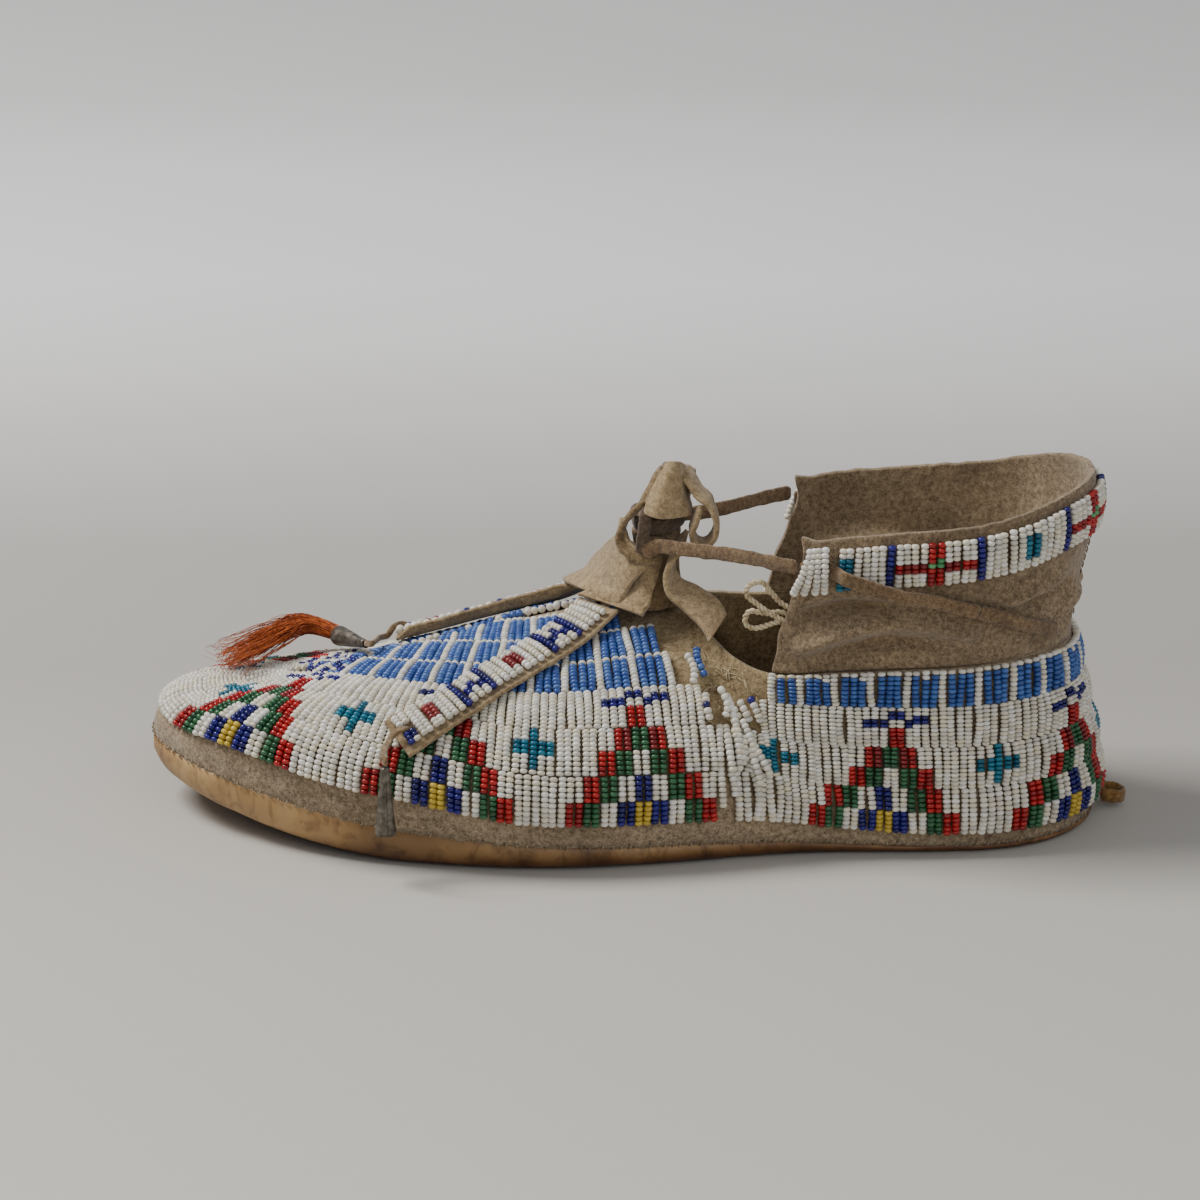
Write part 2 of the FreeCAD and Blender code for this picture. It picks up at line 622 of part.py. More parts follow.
for side, word in ((-1, "lateral"), (1, "medial")):
    keep("cuff_wing_" + word, cuff_panel(side, 12.0, SPLIT - SPLIT_GAP, 0, 1, -CUFF_HIDE, 0.0, "wing"))
    keep("cuff_band_" + word, band_panel(side, 13.0, SPLIT - SPLIT_GAP, "band"))
keep("cuff_back", back_panels(lambda side, i, v: (cuff_pt(side, i, v, 0.0), cuff_pt(side, i, v, -CUFF_HIDE)), SPLIT, "cuff_back"))
def band_pair(side, i, v):
    t0, t1 = band_t(side, i)
    t = t0 + (t1 - t0) * v
    return cuff_pt(side, i, t, LANE_LIFT + BEAD_OD), cuff_pt(side, i, t, LANE_LIFT)
keep("cuff_band_back", back_panels(band_pair, SPLIT, "cuff_band_back", 14, 4))


# ---------------------------------------------------------------------------
# tongue: soft hide gathered by the lace, its two beaded forks laid forward
# ---------------------------------------------------------------------------
TONGUE = [
    # centre, half length X, half width Y, rise of the front
    ((8.8, 1.2, 54.75), 7.8, 12.5, -0.3),
    ((8.0, 0.8, 58.5), 7.2, 11.5, 0.0),
    ((7.0, 0.0, 65.8), 5.4, 7.8, 0.0),
    ((7.0, -0.8, 71.8), 3.6, 4.6, 0.0),
    ((7.4, -0.8, 78.8), 3.6, 4.6, 0.0),
    ((9.2, -0.4, 84.6), 3.9, 7.4, 0.0),
    ((11.4, 0.4, 89.5), 3.6, 9.0, 0.0),
    ((12.6, 0.8, 94.0), 2.2, 6.5, 0.0),
]
keep("tongue", loft(TONGUE, "tongue"))

FLAP = [V(14.0, -7.0, 79.5), V(18.5, -10.5, 78.0), V(19.5, -13.0, 73.0), V(15.5, -14.0, 67.5), V(14.5, -15.5, 62.0), V(18.8, -18.0, 57.5), V(20.6, -21.5, 55.5)]
keep("tongue_side_flap", ribbon(FLAP, V(0.5, -0.85, 0.1), 9.0, 1.5, "tongue_side_flap"))

FORKS = {
    # station and arc length (above the plain margin) of the centre line, tip to root
    -1: [(5.62, 13.4), (6.12, 24.8), (6.68, 38.4), (7.35, 52.0), (8.10, 64.0)],
    1: [(4.78, 9.6), (5.50, 9.4), (6.30, 9.2), (7.15, 9.0), (7.90, 9.0)],
}


def fork_centre(side, u):
    tab = FORKS[side]
    x = u * 4
    k = min(int(x), 3)
    f = x - k
    def val(c):
        v = [r[c] for r in tab]
        m0 = v[k + 1] - v[k] if k == 0 else 0.5 * (v[k + 1] - v[k - 1])
        m1 = v[k + 1] - v[k] if k == 3 else 0.5 * (v[k + 2] - v[k])
        f2, f3 = f * f, f * f * f
        return (2*f3-3*f2+1)*v[k] + (f3-2*f2+f)*m0 + (-2*f3+3*f2)*v[k+1] + (f3-f2)*m1
    i, a = val(0), val(1)
    s = station(side, i)
    if side > 0:
        a = length_s(s) - a           # measured down from the ridge
    else:
        a = a + REV["mg"](s)
    pr = profile_s(s)
    t = t_of_arc(pr, a)
    rise = 2.2 * max(0.0, (u - 0.72) / 0.28) ** 2
    n = V(*normal(s, t))
    p = V(*P(s, t)) + n * rise
    return p, n


def fork_frame(side, u):
    p, n = fork_centre(side, u)
    a, _ = fork_centre(side, max(u - 0.02, 0.0))
    b, _ = fork_centre(side, min(u + 0.02, 1.0))
    t = b - a
    t.normalize()
    w = n.cross(t)
    if w.z < 0 and side < 0:
        w = w * -1
    if side > 0 and w.y > 0:
        w = w * -1
    w.normalize()
    m = t.cross(w)
    if m.dot(n) < 0:
        m = m * -1
    m.normalize()
    return p, t, w, m


def fork_slab(side, u0, u1, half, z0, z1, name, n=12):
    o, q = [], []
    for u in steps(u0, u1, n):
        p, t, w, m = fork_frame(side, u)
        o.append([p + w * (half * v) + m * z1 for v in (-1, -0.33, 0.33, 1)])
        q.append([p + w * (half * v) + m * z0 for v in (-1, -0.33, 0.33, 1)])
    return slab(o, q, name)


FORK_Z = LANE_LIFT + BEAD_OD + FORK_LIFT
for side, word in ((-1, "lateral"), (1, "medial")):
    keep("fork_%s" % word, fork_slab(side, 0.0, 1.0, FORK_W / 2 + 1.1, FORK_Z, FORK_Z + FORK_HIDE, "fork"))
    keep("fork_beads_%s" % word, fork_slab(side, 0.02, 0.93, FORK_W / 2, FORK_Z + FORK_HIDE + 0.1, FORK_Z + FORK_HIDE + 0.1 + BEAD_OD, "fork beads"))
    p, t, w, m = fork_frame(side, 1.0)
    ax = p + m * (FORK_Z + FORK_HIDE)
    print("fork_%s axis pos" % word, [round(x / 1000, 5) for x in ax], "dir", [round(x, 5) for x in w], "t", [round(x, 3) for x in t])
    p, t, w, m = fork_frame(side, 0.0)
    print("fork_%s tip" % word, [round(x, 2) for x in p], "w", [round(x, 3) for x in w], "m", [round(x, 3) for x in m], "t", [round(x, 3) for x in t])

# ---------------------------------------------------------------------------
# lace: one thong round the tongue's neck, through both cuffs and round the heel
# ---------------------------------------------------------------------------
KNOT = Part.makeTorus(6.5, 1.6, V(7.0, -0.8, 72.9), V(0, 0, 1)).fuse(Part.makeTorus(6.6, 1.6, V(7.3, -0.8, 77.2), V(0.06, 0, 1)))
keep("lace_knot", KNOT.fuse(Part.makeTorus(2.4, 1.5, V(5.0, -10.2, 75.2), V(1, 0.2, 0.1))))

LACE_UP = V(0, 0, 1)
FRONT = {
    -1: [V(9.5, -13.4, 75.2), V(16.5, -19.4, 75.2), V(24.0, -22.8, 75.2), V(32.0, -27.2, 75.3), V(37.5, -30.8, 75.3), V(40.9, -32.5, 75.3)],
    1: [V(9.5, 9.2, 74.6), V(16.5, 12.6, 74.4), V(24.0, 17.4, 74.2), V(32.0, 24.0, 74.0), V(37.5, 29.0, 73.8), V(40.9, 31.5, 73.6)],
}
# row, place up the cuff, and how far the lace stands off where it crosses the band
ON_WING = [(12.1, 0.82, 0.0), (12.4, 0.81, 0.0), (12.68, 0.79, 0.0), (12.86, 0.77, 1.0), (13.0, 0.75, 3.0), (13.2, 0.715, 3.15), (13.5, 0.665, 3.15), (13.8, 0.615, 3.15), (14.05, 0.575, 3.0), (14.25, 0.54, 1.2), (14.5, 0.50, 0.0), (14.8, 0.45, 0.0), (SPLIT - 0.07, 0.40, 0.0)]
ON_BACK = [(SPLIT + 0.05, 0.392, 0.0), (15.6, 0.32, 0.0), (16.1, 0.235, 0.0), (16.6, 0.17, 0.0), (17.0, 0.13, 0.0)]


def cuff_path(side, tab, off):
    return [cuff_pt(side, i, t, off + h) for i, t, h in tab]


def cuff_up(side, tab):
    return [cuff_pt(side, i, min(t + 0.05, 1.0), 0) - cuff_pt(side, i, max(t - 0.05, 0.0), 0) for i, t, h in tab]


LACE_OFF = 0.35 + THONG_T / 2
for side, word in ((-1, "lateral"), (1, "medial")):
    keep("lace_front_" + word, ribbon(FRONT[side], LACE_UP, THONG_W, THONG_T, "lace front"))
    keep("lace_wing_" + word, ribbon(cuff_path(side, ON_WING, LACE_OFF), cuff_up(side, ON_WING), THONG_W, THONG_T, "lace wing"))
    keep("lace_back_" + word, ribbon(cuff_path(side, ON_BACK, LACE_OFF), cuff_up(side, ON_BACK), THONG_W, THONG_T, "lace back"))
INNER = [(-1, i) for i in (16.9, 17.3, 17.8, 18.3, 18.8)] + [(1, i) for i in (18.8, 18.3, 17.8, 17.3, 16.9)]
pts = [cuff_pt(sd, i, 0.19, -CUFF_HIDE - 0.9) for sd, i in INNER]
keep("lace_heel_inner", ribbon(pts, LACE_UP, THONG_W, THONG_T, "lace inner"))

# ---------------------------------------------------------------------------
# tinklers: tin cones on short thongs at the fork tips, one with horsehair
# ---------------------------------------------------------------------------
p, t, w, m = fork_frame(-1, 0.0)
hole = fork_frame(-1, 0.045)[0] + m * (FORK_Z + FORK_HIDE + 0.1)
HANG = V(-60.0, -54.0, 30.4)                       # where the lateral cone swings
edge = p - t * 2.6 + m * (FORK_Z + FORK_HIDE / 2)
keep("cone_thong_lateral", ribbon([p - t * 0.35 + m * (FORK_Z + 0.6), p - t * 1.8 + m * (FORK_Z + 0.9), edge * 0.5 + HANG * 0.5 + V(-0.6, -0.8, 1.2), HANG + V(0, 0, 2.2), HANG + V(0, 0, 0.95)], V(0.6, -0.8, 0), 2.0, 1.0, "thong"))
keep("tin_cone_lateral", cone(HANG, V(0, 0, -1), CONE_L, CONE_R_NARROW, CONE_R_WIDE, CONE_WALL))
print("hang", HANG, "fork tip", p, "edge", edge)

p, t, w, m = fork_frame(1, 0.0)
TIP_M = p - t * 0.4 + m * (FORK_Z + 0.6)
LIE = V(-67.0, 4.2, 42.0)                          # narrow end of the lying cone
MOUTH_END = V(-74.2, 19.8, 38.6)
CONE_DIR = MOUTH_END - LIE
keep("cone_thong_medial", ribbon([TIP_M, p - t * 2.0 + m * (FORK_Z + 0.9), p - t * 4.2 - V(0, 4.0, 0) + m * (FORK_Z + 2.7), LIE + V(2.1, -3.0, 1.2), LIE + V(1.0, -1.8, 0.6)], V(0, 0.2, 1), 1.6, 1.0, "thong"))
keep("tin_cone_medial", cone(LIE, CONE_DIR, CONE_L, CONE_R_NARROW, CONE_R_WIDE, CONE_WALL))
d = V(CONE_DIR)
d.normalize()
mouth = LIE + d * (CONE_L - 2.0)
print("lie", LIE, "mouth", mouth, "medial tip", TIP_M)
HAIR = [mouth, mouth + d * 3.5 + V(-1.0, 0, 0.9), V(-80.6, 22.8, 40.4), V(-86.0, 21.6, 40.6), V(-91.5, 17.0, 39.2), V(-97.0, 11.6, 37.6), V(-101.5, 8.4, 36.2)]


def tube_poly(pts, radii, name):
    """closed soft solid along a line: stacked rings"""
    wires = []
    for k, (q, r) in enumerate(zip(pts, radii)):
        tt = pts[min(k + 1, len(pts) - 1)] - pts[max(k - 1, 0)]
        wires.append(Part.Wire(Part.makeCircle(r, q, tt)))
    so = Part.makeLoft(wires, True, False)
    assert so.isValid() and so.Volume > 0, name
    return so


keep("horsehair_tuft", tube_poly(HAIR, [1.3, 1.7, 2.3, 2.5, 2.5, 2.4, 1.8], "hair"))

# ---------------------------------------------------------------------------
# heel tab, seams and loose bead strings
# ---------------------------------------------------------------------------
TAB = [V(120.7, -2.1, 3.4), V(122.4, -3.1, 3.5), V(125.5, -2.8, 3.1), V(127.0, 0.0, 2.7), V(125.5, 2.8, 3.1), V(122.4, 3.1, 3.5), V(120.7, 2.1, 3.4)]
keep("heel_tab", ribbon(TAB, V(0, 0, 1), 3.0, 1.2, "heel_tab"))


def seam_ring(s, v):
    a = 0.5 + 1.0 * v
    return spot(s, a, 0.85), spot(s, a, 0.2)


keep("sole_seam_thread", two_sided(seam_ring, "sole_seam_thread", 50, 3))


def seam_top(s0, s1, name):
    o, q = [], []
    for s in steps(s0, s1, 60):
        L = length_s(s)
        o.append([spot(s, L - 2.6 + v, -HIDE - 0.2) for v in (0, 0.35, 0.7, 1.0)])
        q.append([spot(s, L - 2.6 + v, -HIDE - 0.8) for v in (0, 0.35, 0.7, 1.0)])
    return slab(o, q, name)


keep("cuff_seam_thread", seam_top(12.3, 2 * NI - 12.3, "cuff_seam_thread"))
heel_o = [[V(cuff_pt(-1, 19.0, t, 0.95).x, y, cuff_pt(-1, 19.0, t, 0.95).z) for y in (-0.9, -0.3, 0.3, 0.9)] for t in steps(0.08, 0.58, 8)]
heel_q = [[V(cuff_pt(-1, 19.0, t, 0.4).x, y, cuff_pt(-1, 19.0, t, 0.4).z) for y in (-0.9, -0.3, 0.3, 0.9)] for t in steps(0.08, 0.58, 8)]
keep("heel_seam_thread", slab(heel_o, heel_q, "heel_seam_thread"))

strings = []
for side in (-1, 1):
    for i, a0, a1, b0, b1 in ((9.55, 24.6, 31.2, 1.3, 2.2), (9.95, 25.4, 32.6, 1.4, 3.0), (10.35, 25.0, 31.2, 1.6, 2.4), (10.75, 26.0, 32.6, 1.4, 2.8), (11.15, 26.2, 32.0, 1.4, 2.0), (11.5, 27.0, 33.6, 1.6, 1.8), (9.35, 35.0, 42.8, 1.0, 2.6), (9.7, 36.4, 44.0, 1.6, 3.0)):
        s = station(side, i)
        mg = REV["mg"](s)
        strings.append(rod(spot(s, mg + a0, BEAD_OD / 2 + b0), spot(s, mg + a1, BEAD_OD / 2 + b1), BEAD_OD / 2))
keep("loose_vamp_strings", Part.makeCompound(strings))
for side, word in ((-1, "lateral"), (1, "medial")):
    loops = []
    for i in (12.1, 12.27, 12.44, 12.61):
        loops.append(rod(cuff_pt(side, i, 0.64, 3.3), cuff_pt(side, i + 0.02, 0.95, 3.5), BEAD_OD / 2))
    keep("bead_loops_" + word, Part.makeCompound(loops))

low = [1e9] * 3
high = [-1e9] * 3
for name, so in OUT.items():
    if FOOT_X or FOOT_Y:
        so.translate(V(FOOT_X, FOOT_Y, 0))
    so.exportStep(os.path.join("parts", name + ".step"))
    b = so.BoundBox
    low = [min(low[0], b.XMin), min(low[1], b.YMin), min(low[2], b.ZMin)]
    high = [max(high[0], b.XMax), max(high[1], b.YMax), max(high[2], b.ZMax)]
    print("%-24s valid %s solids %d vol %.1f box %s" % (name, so.isValid(), len(so.Solids), so.Volume, [round(v, 2) for v in (b.XMin, b.XMax, b.YMin, b.YMax, b.ZMin, b.ZMax)]))
print("whole", [round(v, 3) for v in low + high], "size", [round(high[k] - low[k], 2) for k in range(3)])
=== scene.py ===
import math
import random
import bpy
import bmesh
import numpy as np
from mathutils import Vector, Matrix, noise


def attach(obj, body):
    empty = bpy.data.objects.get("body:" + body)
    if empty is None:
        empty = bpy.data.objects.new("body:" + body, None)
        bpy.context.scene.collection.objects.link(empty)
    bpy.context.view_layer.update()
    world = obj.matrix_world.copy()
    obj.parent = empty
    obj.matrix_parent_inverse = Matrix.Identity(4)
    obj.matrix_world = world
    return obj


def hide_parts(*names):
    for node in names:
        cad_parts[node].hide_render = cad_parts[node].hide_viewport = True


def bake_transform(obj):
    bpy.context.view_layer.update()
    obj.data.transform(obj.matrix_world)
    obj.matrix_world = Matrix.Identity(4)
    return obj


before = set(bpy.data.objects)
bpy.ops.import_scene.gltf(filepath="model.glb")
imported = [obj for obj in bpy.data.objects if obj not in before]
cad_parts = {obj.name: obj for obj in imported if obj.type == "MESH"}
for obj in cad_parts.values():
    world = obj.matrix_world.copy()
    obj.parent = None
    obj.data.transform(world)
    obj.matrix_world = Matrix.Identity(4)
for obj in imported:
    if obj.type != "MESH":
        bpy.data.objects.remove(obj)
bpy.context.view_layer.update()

RNG = random.Random(20)

# ---------------------------------------------------------------------------
# The shoe's own surfaces, in millimetres.  FX and FY centre it on the frame.
# ---------------------------------------------------------------------------
FX, FY = -2.61, 3.88
HIDE, CUFF_HIDE, SOLE_T, SOLE_INSET = 1.3, 1.5, 2.6, 8.5
LANE_GAP, BLUE_LANE = 0.35, 11.0
MARGIN_TOP, BAND_H = 2.2, 11.2
FORK_W, FORK_HIDE, FORK_Z = 10.0, 1.2, 2.9
FLEX_FRONT, FLEX_BACK = 9.15, 11.75
BEAD_R, BEAD_L, PITCH = 1.05, 1.27, 2.13

ROWS = [
# i   Bx     ByL    ByM   Bz    Rx    Yc    D    Rz    alL beL h1L  h2L   alM beM h1M  h2M   mg   b1    b2    b3
(-121.5,    8.0,    8.0,   17.6,  -84.5,    4.2,    0.0,   33.3,      4,     10,    .32,    .50,      4,     12,    .32,    .50,    8.2,   11.6,   22.8,   34.0),
(-119.3,   -1.8,   17.0,   17.4,  -83.0,    4.1,    0.0,   33.6,      5,     11,    .34,    .52,      5,     15,    .33,    .44,    7.4,   11.7,   22.9,   34.2),
(-113.3,  -12.0,   25.4,   17.0,  -79.0,    4.0,    0.0,   34.4,      7,      9,    .39,    .54,      7,     20,    .32,    .36,    7.6,   11.8,   23.1,   34.5),
(-103.5,  -22.3,   32.6,   15.9,  -72.5,    3.9,    0.0,   35.9,      9,      8,    .45,    .55,      9,     22,    .31,    .30,    9.0,   12.0,   23.5,   35.0),
( -90.0,  -31.8,   38.2,   13.8,  -63.5,    3.9,    0.0,   38.1,     12,      8,    .47,    .52,     12,     22,    .31,    .27,    9.8,   12.2,   23.9,   35.4),
( -72.0,  -40.2,   42.8,   11.0,  -52.5,    4.2,    0.0,   41.2,     15,      8,    .47,    .48,     14,     21,    .32,    .25,    9.6,   12.3,   24.0,   35.5),
( -50.0,  -46.0,   45.6,    9.0,  -39.0,    4.6,    0.0,   45.0,     17,      9,    .46,    .45,     15,     19,    .36,    .25,    9.0,   12.3,   24.0,   35.0),
( -27.0,  -48.3,   45.8,    6.8,  -24.5,    4.8,    0.0,   49.2,     18,     10,    .46,    .44,     16,     15,    .38,    .25,    7.6,   12.3,   24.0,   35.0),
(  -5.0,  -46.8,   43.4,    5.9,   -9.0,    4.6,    0.0,   52.4,     17,     12,    .45,    .43,     16,     13,    .40,    .25,    7.4,   12.3,   24.0,   35.5),
(  14.0,  -43.2,   39.8,    5.4,    5.0,    4.0,    0.0,   54.6,     15,     14,    .44,    .42,     14,     14,    .43,    .25,    7.4,   12.3,   23.8,   35.2),
(  27.0,  -40.0,   36.6,    4.8,   15.0,    3.2,    8.5,   53.6,     13,     25,    .42,    .36,     12,     26,    .41,    .28,    7.0,   12.2,   23.5,   34.6),
(  37.5,  -37.6,   34.4,    4.2,   24.5,    2.4,   23.5,   49.0,     11,     50,    .38,    .30,     11,     52,    .38,    .30,    6.4,   12.1,   23.1,   33.8),
(  48.5,  -36.0,   33.3,    3.4,   36.0,    1.7,   31.5,   46.2,     10,     72,    .35,    .30,     10,     72,    .35,    .30,    5.6,   12.0,   22.8,   33.2),
(  61.0,  -35.2,   33.1,    2.7,   51.0,    1.2,   32.0,   46.8,      9,     82,    .33,    .33,      9,     82,    .33,    .33,    4.8,   11.9,   22.6,   32.9),
(   75.0, -34.8,  33.3,  2.2,  68.0, 0.8,31.3, 47.4,  9, 86, .33, .33,   9, 86, .33, .33,  4.1, 11.9, 22.6, 32.9),
(   89.3, -33.6,  32.3,  2.0,  84.3, 0.4,29.8, 47.9,  9, 86, .33, .33,   9, 86, .33, .33,  4.0, 11.9, 22.6, 32.9),
(  102.0, -29.0,  28.5,  2.0,  96.6, 0.2,25.4, 48.3,  9, 86, .33, .33,   9, 86, .33, .33,  4.0, 12.0, 22.8, 33.1),
(  111.6, -20.6,  20.4,  2.0, 105.6, 0.0,17.8, 48.2,  9, 86, .33, .33,   9, 86, .33, .33,  4.0, 12.0, 22.8, 33.1),
(  116.9, -10.2,  10.2,  2.0, 110.7, 0.0, 9.0, 47.8,  9, 86, .33, .33,   9, 86, .33, .33,  4.0, 11.9, 22.6, 32.9),
(  118.5,   0.0,   0.0,  2.0, 112.3, 0.0, 0.0, 47.6,  9, 86, .33, .33,   9, 86, .33, .33,  4.0, 11.9, 22.6, 32.9),
]
NI = len(ROWS) - 1   # 19
COL = {k: n for n, k in enumerate("Bx ByL ByM Bz Rx Yc D Rz alL beL h1L h2L alM beM h1M h2M mg b1 b2 b3".split())}

def solve(A, b):
    n = len(b)
    M = [list(r) + [v] for r, v in zip(A, b)]
    for i in range(n):
        p = max(range(i, n), key=lambda k: abs(M[k][i]))
        M[i], M[p] = M[p], M[i]
        for k in range(i + 1, n):
            f = M[k][i] / M[i][i]
            if f:
                for j in range(i, n + 1):
                    M[k][j] -= f * M[i][j]
    x = [0.0] * n
    for i in range(n - 1, -1, -1):
        x[i] = (M[i][n] - sum(M[i][j] * x[j] for j in range(i + 1, n))) / M[i][i]
    return x

class Ring:
    """C2 periodic cubic through values at integer stations"""
    def __init__(self, v):
        n = len(v); self.n = n; self.v = v
        A = [[0.0] * n for _ in range(n)]; b = [0.0] * n
        for i in range(n):
            A[i][(i - 1) % n] = 1.0; A[i][i] = 4.0; A[i][(i + 1) % n] = 1.0
            b[i] = 6.0 * (v[(i + 1) % n] - 2 * v[i] + v[(i - 1) % n])
        self.m = solve(A, b)
    def __call__(self, s, d=0):
        n = self.n
        k = math.floor(s); f = s - k; a = k % n; c = (a + 1) % n
        v0, v1, m0, m1 = self.v[a], self.v[c], self.m[a], self.m[c]
        g = 1 - f
        if d == 0:
            return g * v0 + f * v1 + ((g**3 - g) * m0 + (f**3 - f) * m1) / 6
        return v1 - v0 + (-(3 * g * g - 1) * m0 + (3 * f * f - 1) * m1) / 6

def ring_of(even, name=None, odd=None):
    lat = [r[COL[even]] for r in ROWS]
    med = [r[COL[odd or even]] for r in ROWS]
    return Ring(lat + med[-2:0:-1])

RBx = ring_of("Bx"); RBy = ring_of("ByL", odd="ByM"); 
REV = {k: ring_of(k) for k in ("Bz", "Rx", "Yc", "Rz", "mg", "b1", "b2", "b3")}
for _k in ("al", "be", "h1", "h2"):
    REV[_k] = ring_of(_k + "L", odd=_k + "M")
def Dval(i):
    i = min(max(i, 0.0), float(NI))
    if i <= 9: return 0.0
    k = min(int(math.floor(i)), NI - 1); f = i - k
    d = [r[COL["D"]] for r in ROWS]
    def tan(j):
        if j <= 9: return 0.0
        if j >= NI: return d[NI] - d[NI - 1]
        return 0.5 * (d[j + 1] - d[j - 1])
    p0, p1, m0, m1 = d[k], d[k + 1], tan(k), tan(k + 1)
    if k + 1 == NI: m1 = -(9.3)
    f2, f3 = f * f, f * f * f
    return (2*f3-3*f2+1)*p0 + (f3-2*f2+f)*m0 + (-2*f3+3*f2)*p1 + (f3-f2)*m1

def station(side, i):
    """ring parameter of side (-1 lateral, +1 medial) at row i"""
    return i if side < 0 else 2 * NI - i

def column(side, i):
    s = station(side, i)
    B = (RBx(s), RBy(s), REV["Bz"](s))
    tx, ty = RBx(s, 1), RBy(s, 1)
    L = math.hypot(tx, ty)
    # ring runs toe -> lateral -> heel -> medial: outward is to the right-hand of travel... 
    N = (ty / L, -tx / L)
    R = (REV["Rx"](s), REV["Yc"](s) + side * Dval(i), REV["Rz"](s))
    al, be = math.radians(REV["al"](s)), math.radians(REV["be"](s))
    ch = math.dist(B, R)
    h1, h2 = REV["h1"](s) * ch, REV["h2"](s) * ch
    C1 = (B[0] + h1 * math.sin(al) * N[0], B[1] + h1 * math.sin(al) * N[1], B[2] + h1 * math.cos(al))
    C2 = (R[0] + h2 * math.cos(be) * N[0], R[1] + h2 * math.cos(be) * N[1], R[2] - h2 * math.sin(be))
    return B, C1, C2, R, N

def bez(P, t):
    g = 1 - t
    return tuple(g**3 * a + 3*g*g*t * b + 3*g*t*t * c + t**3 * d for a, b, c, d in zip(*P))

def profile(side, i, n=40):
    B, C1, C2, R, N = column(side, i)
    pts = [bez((B, C1, C2, R), k / n) for k in range(n + 1)]
    arc = [0.0]
    for a, b in zip(pts, pts[1:]):
        arc.append(arc[-1] + math.dist(a, b))
    return pts, arc

def at_arc(prof, a):
    pts, arc = prof
    if a <= 0: return pts[0]
    for k in range(1, len(arc)):
        if arc[k] >= a:
            f = (a - arc[k-1]) / (arc[k] - arc[k-1])
            return tuple(p + f * (q - p) for p, q in zip(pts[k-1], pts[k]))
    return pts[-1]

def P(s, t):
    n2 = 2 * NI
    s = s % n2
    side = -1 if s <= NI else 1
    i = s if side < 0 else n2 - s
    B, C1, C2, R, N = column(side, i)
    return bez((B, C1, C2, R), t)

def sub(a, b): return tuple(x - y for x, y in zip(a, b))
def cross(a, b): return (a[1]*b[2]-a[2]*b[1], a[2]*b[0]-a[0]*b[2], a[0]*b[1]-a[1]*b[0])
def unit(a):
    l = math.sqrt(sum(x*x for x in a)); return tuple(x / l for x in a)
def normal_raw(s, t):
    e = 0.04
    t = min(t, 0.985)
    ds = sub(P(s + e, t), P(s - e, t)); dt = sub(P(s, min(t + .01, 1)), P(s, t - .01 if t > .01 else t))
    return unit(cross(ds, dt))
def normal(s, t):
    n = normal_raw(s, t)
    n2 = 2 * NI; s = s % n2; i = s if s <= NI else n2 - s
    if i <= 9.6 and t > 0.9:
        m = normal_raw(n2 - s, t); w = 0.5 * (t - 0.9) / 0.1 * (1 if i <= 9 else (9.6 - i) / .6)
        n = unit(tuple((1 - w) * a + w * b for a, b in zip(n, m)))
    return n


def profile_s(s, n=40):
    s = s % (2 * NI)
    side = -1 if s <= NI else 1
    return profile(side, s if side < 0 else 2 * NI - s, n)


def t_of_arc(pr, a):
    """profile parameter at arc length a from the sole edge"""
    pts, arc = pr
    n = len(arc) - 1
    if a <= 0:
        return 0.0
    for k in range(1, n + 1):
        if arc[k] >= a:
            return (k - 1 + (a - arc[k - 1]) / (arc[k] - arc[k - 1])) / n
    return 1.0


def length_s(s):
    return profile_s(s)[1][-1]


CUFF = [
(12.0,  43.5, 30.0, 80.8, 0.4),
(13.0,  54.0, 31.4, 82.6, 0.6),
(14.0,  69.0, 31.8, 83.8, 0.6),
(15.0,  85.0, 31.4, 85.2, 0.8),
(16.0,  99.0, 27.6, 87.6, 1.2),
(17.0, 109.2, 19.4, 90.0, 1.7),
(18.0, 115.4, 10.0, 91.0, 2.2),
(19.0, 117.3,  0.0, 91.0, 2.4),
]
MEDIAL_DROP = 2.5                 # the medial top edge sits this much lower at the front
MEDIAL_IN = 1.5                   # and this much further in


def hermite(tab, i, c, odd=False):
    """smooth value of column c at row i, mirrored past the heel"""
    x = min(max(i, 12.0), 19.0) - 12.0
    k = min(int(x), 6)
    f = x - k
    v = [r[c] for r in tab]
    def tan(j):
        if j == 0:
            return v[1] - v[0]
        if j == 7:
            return (v[7] - v[6]) if odd else 0.0
        return 0.5 * (v[j + 1] - v[j - 1])
    f2, f3 = f * f, f * f * f
    return (2*f3-3*f2+1)*v[k] + (f3-2*f2+f)*tan(k) + (-2*f3+3*f2)*v[k+1] + (f3-f2)*tan(k+1)


CUFF_GAP = 0.4                    # cuff above the top line of the beaded part


def cuff_col(side, i):
    s = station(side, i)
    B, C1, C2, R, N = column(side, i)
    U = (hermite(CUFF, i, 1), side * hermite(CUFF, i, 2, True), hermite(CUFF, i, 3))
    if side > 0:
        k = min(max((19.0 - i) / 4.0, 0.0), 1.0)
        k = k * k * (3 - 2 * k)
        U = (U[0], U[1] - MEDIAL_IN * k, U[2] - MEDIAL_DROP * k)
    fl = hermite(CUFF, i, 4)
    H = U[2] - R[2]
    base = (R[0], R[1], R[2] + CUFF_GAP)
    C1 = (base[0] - 0.3 * fl * N[0], base[1] - 0.3 * fl * N[1], base[2] + 0.36 * H)
    C2 = (U[0] + fl * N[0], U[1] + fl * N[1], U[2] - 0.36 * H)
    return base, C1, C2, U, N



def lerp(a, b, t):
    return a + (b - a) * t


def add(a, b, k=1.0):
    return (a[0] + k * b[0], a[1] + k * b[1], a[2] + k * b[2])


def dot(a, b):
    return a[0] * b[0] + a[1] * b[1] + a[2] * b[2]


def smoothstep(a, b, x):
    t = min(max((x - a) / (b - a), 0.0), 1.0)
    return t * t * (3 - 2 * t)


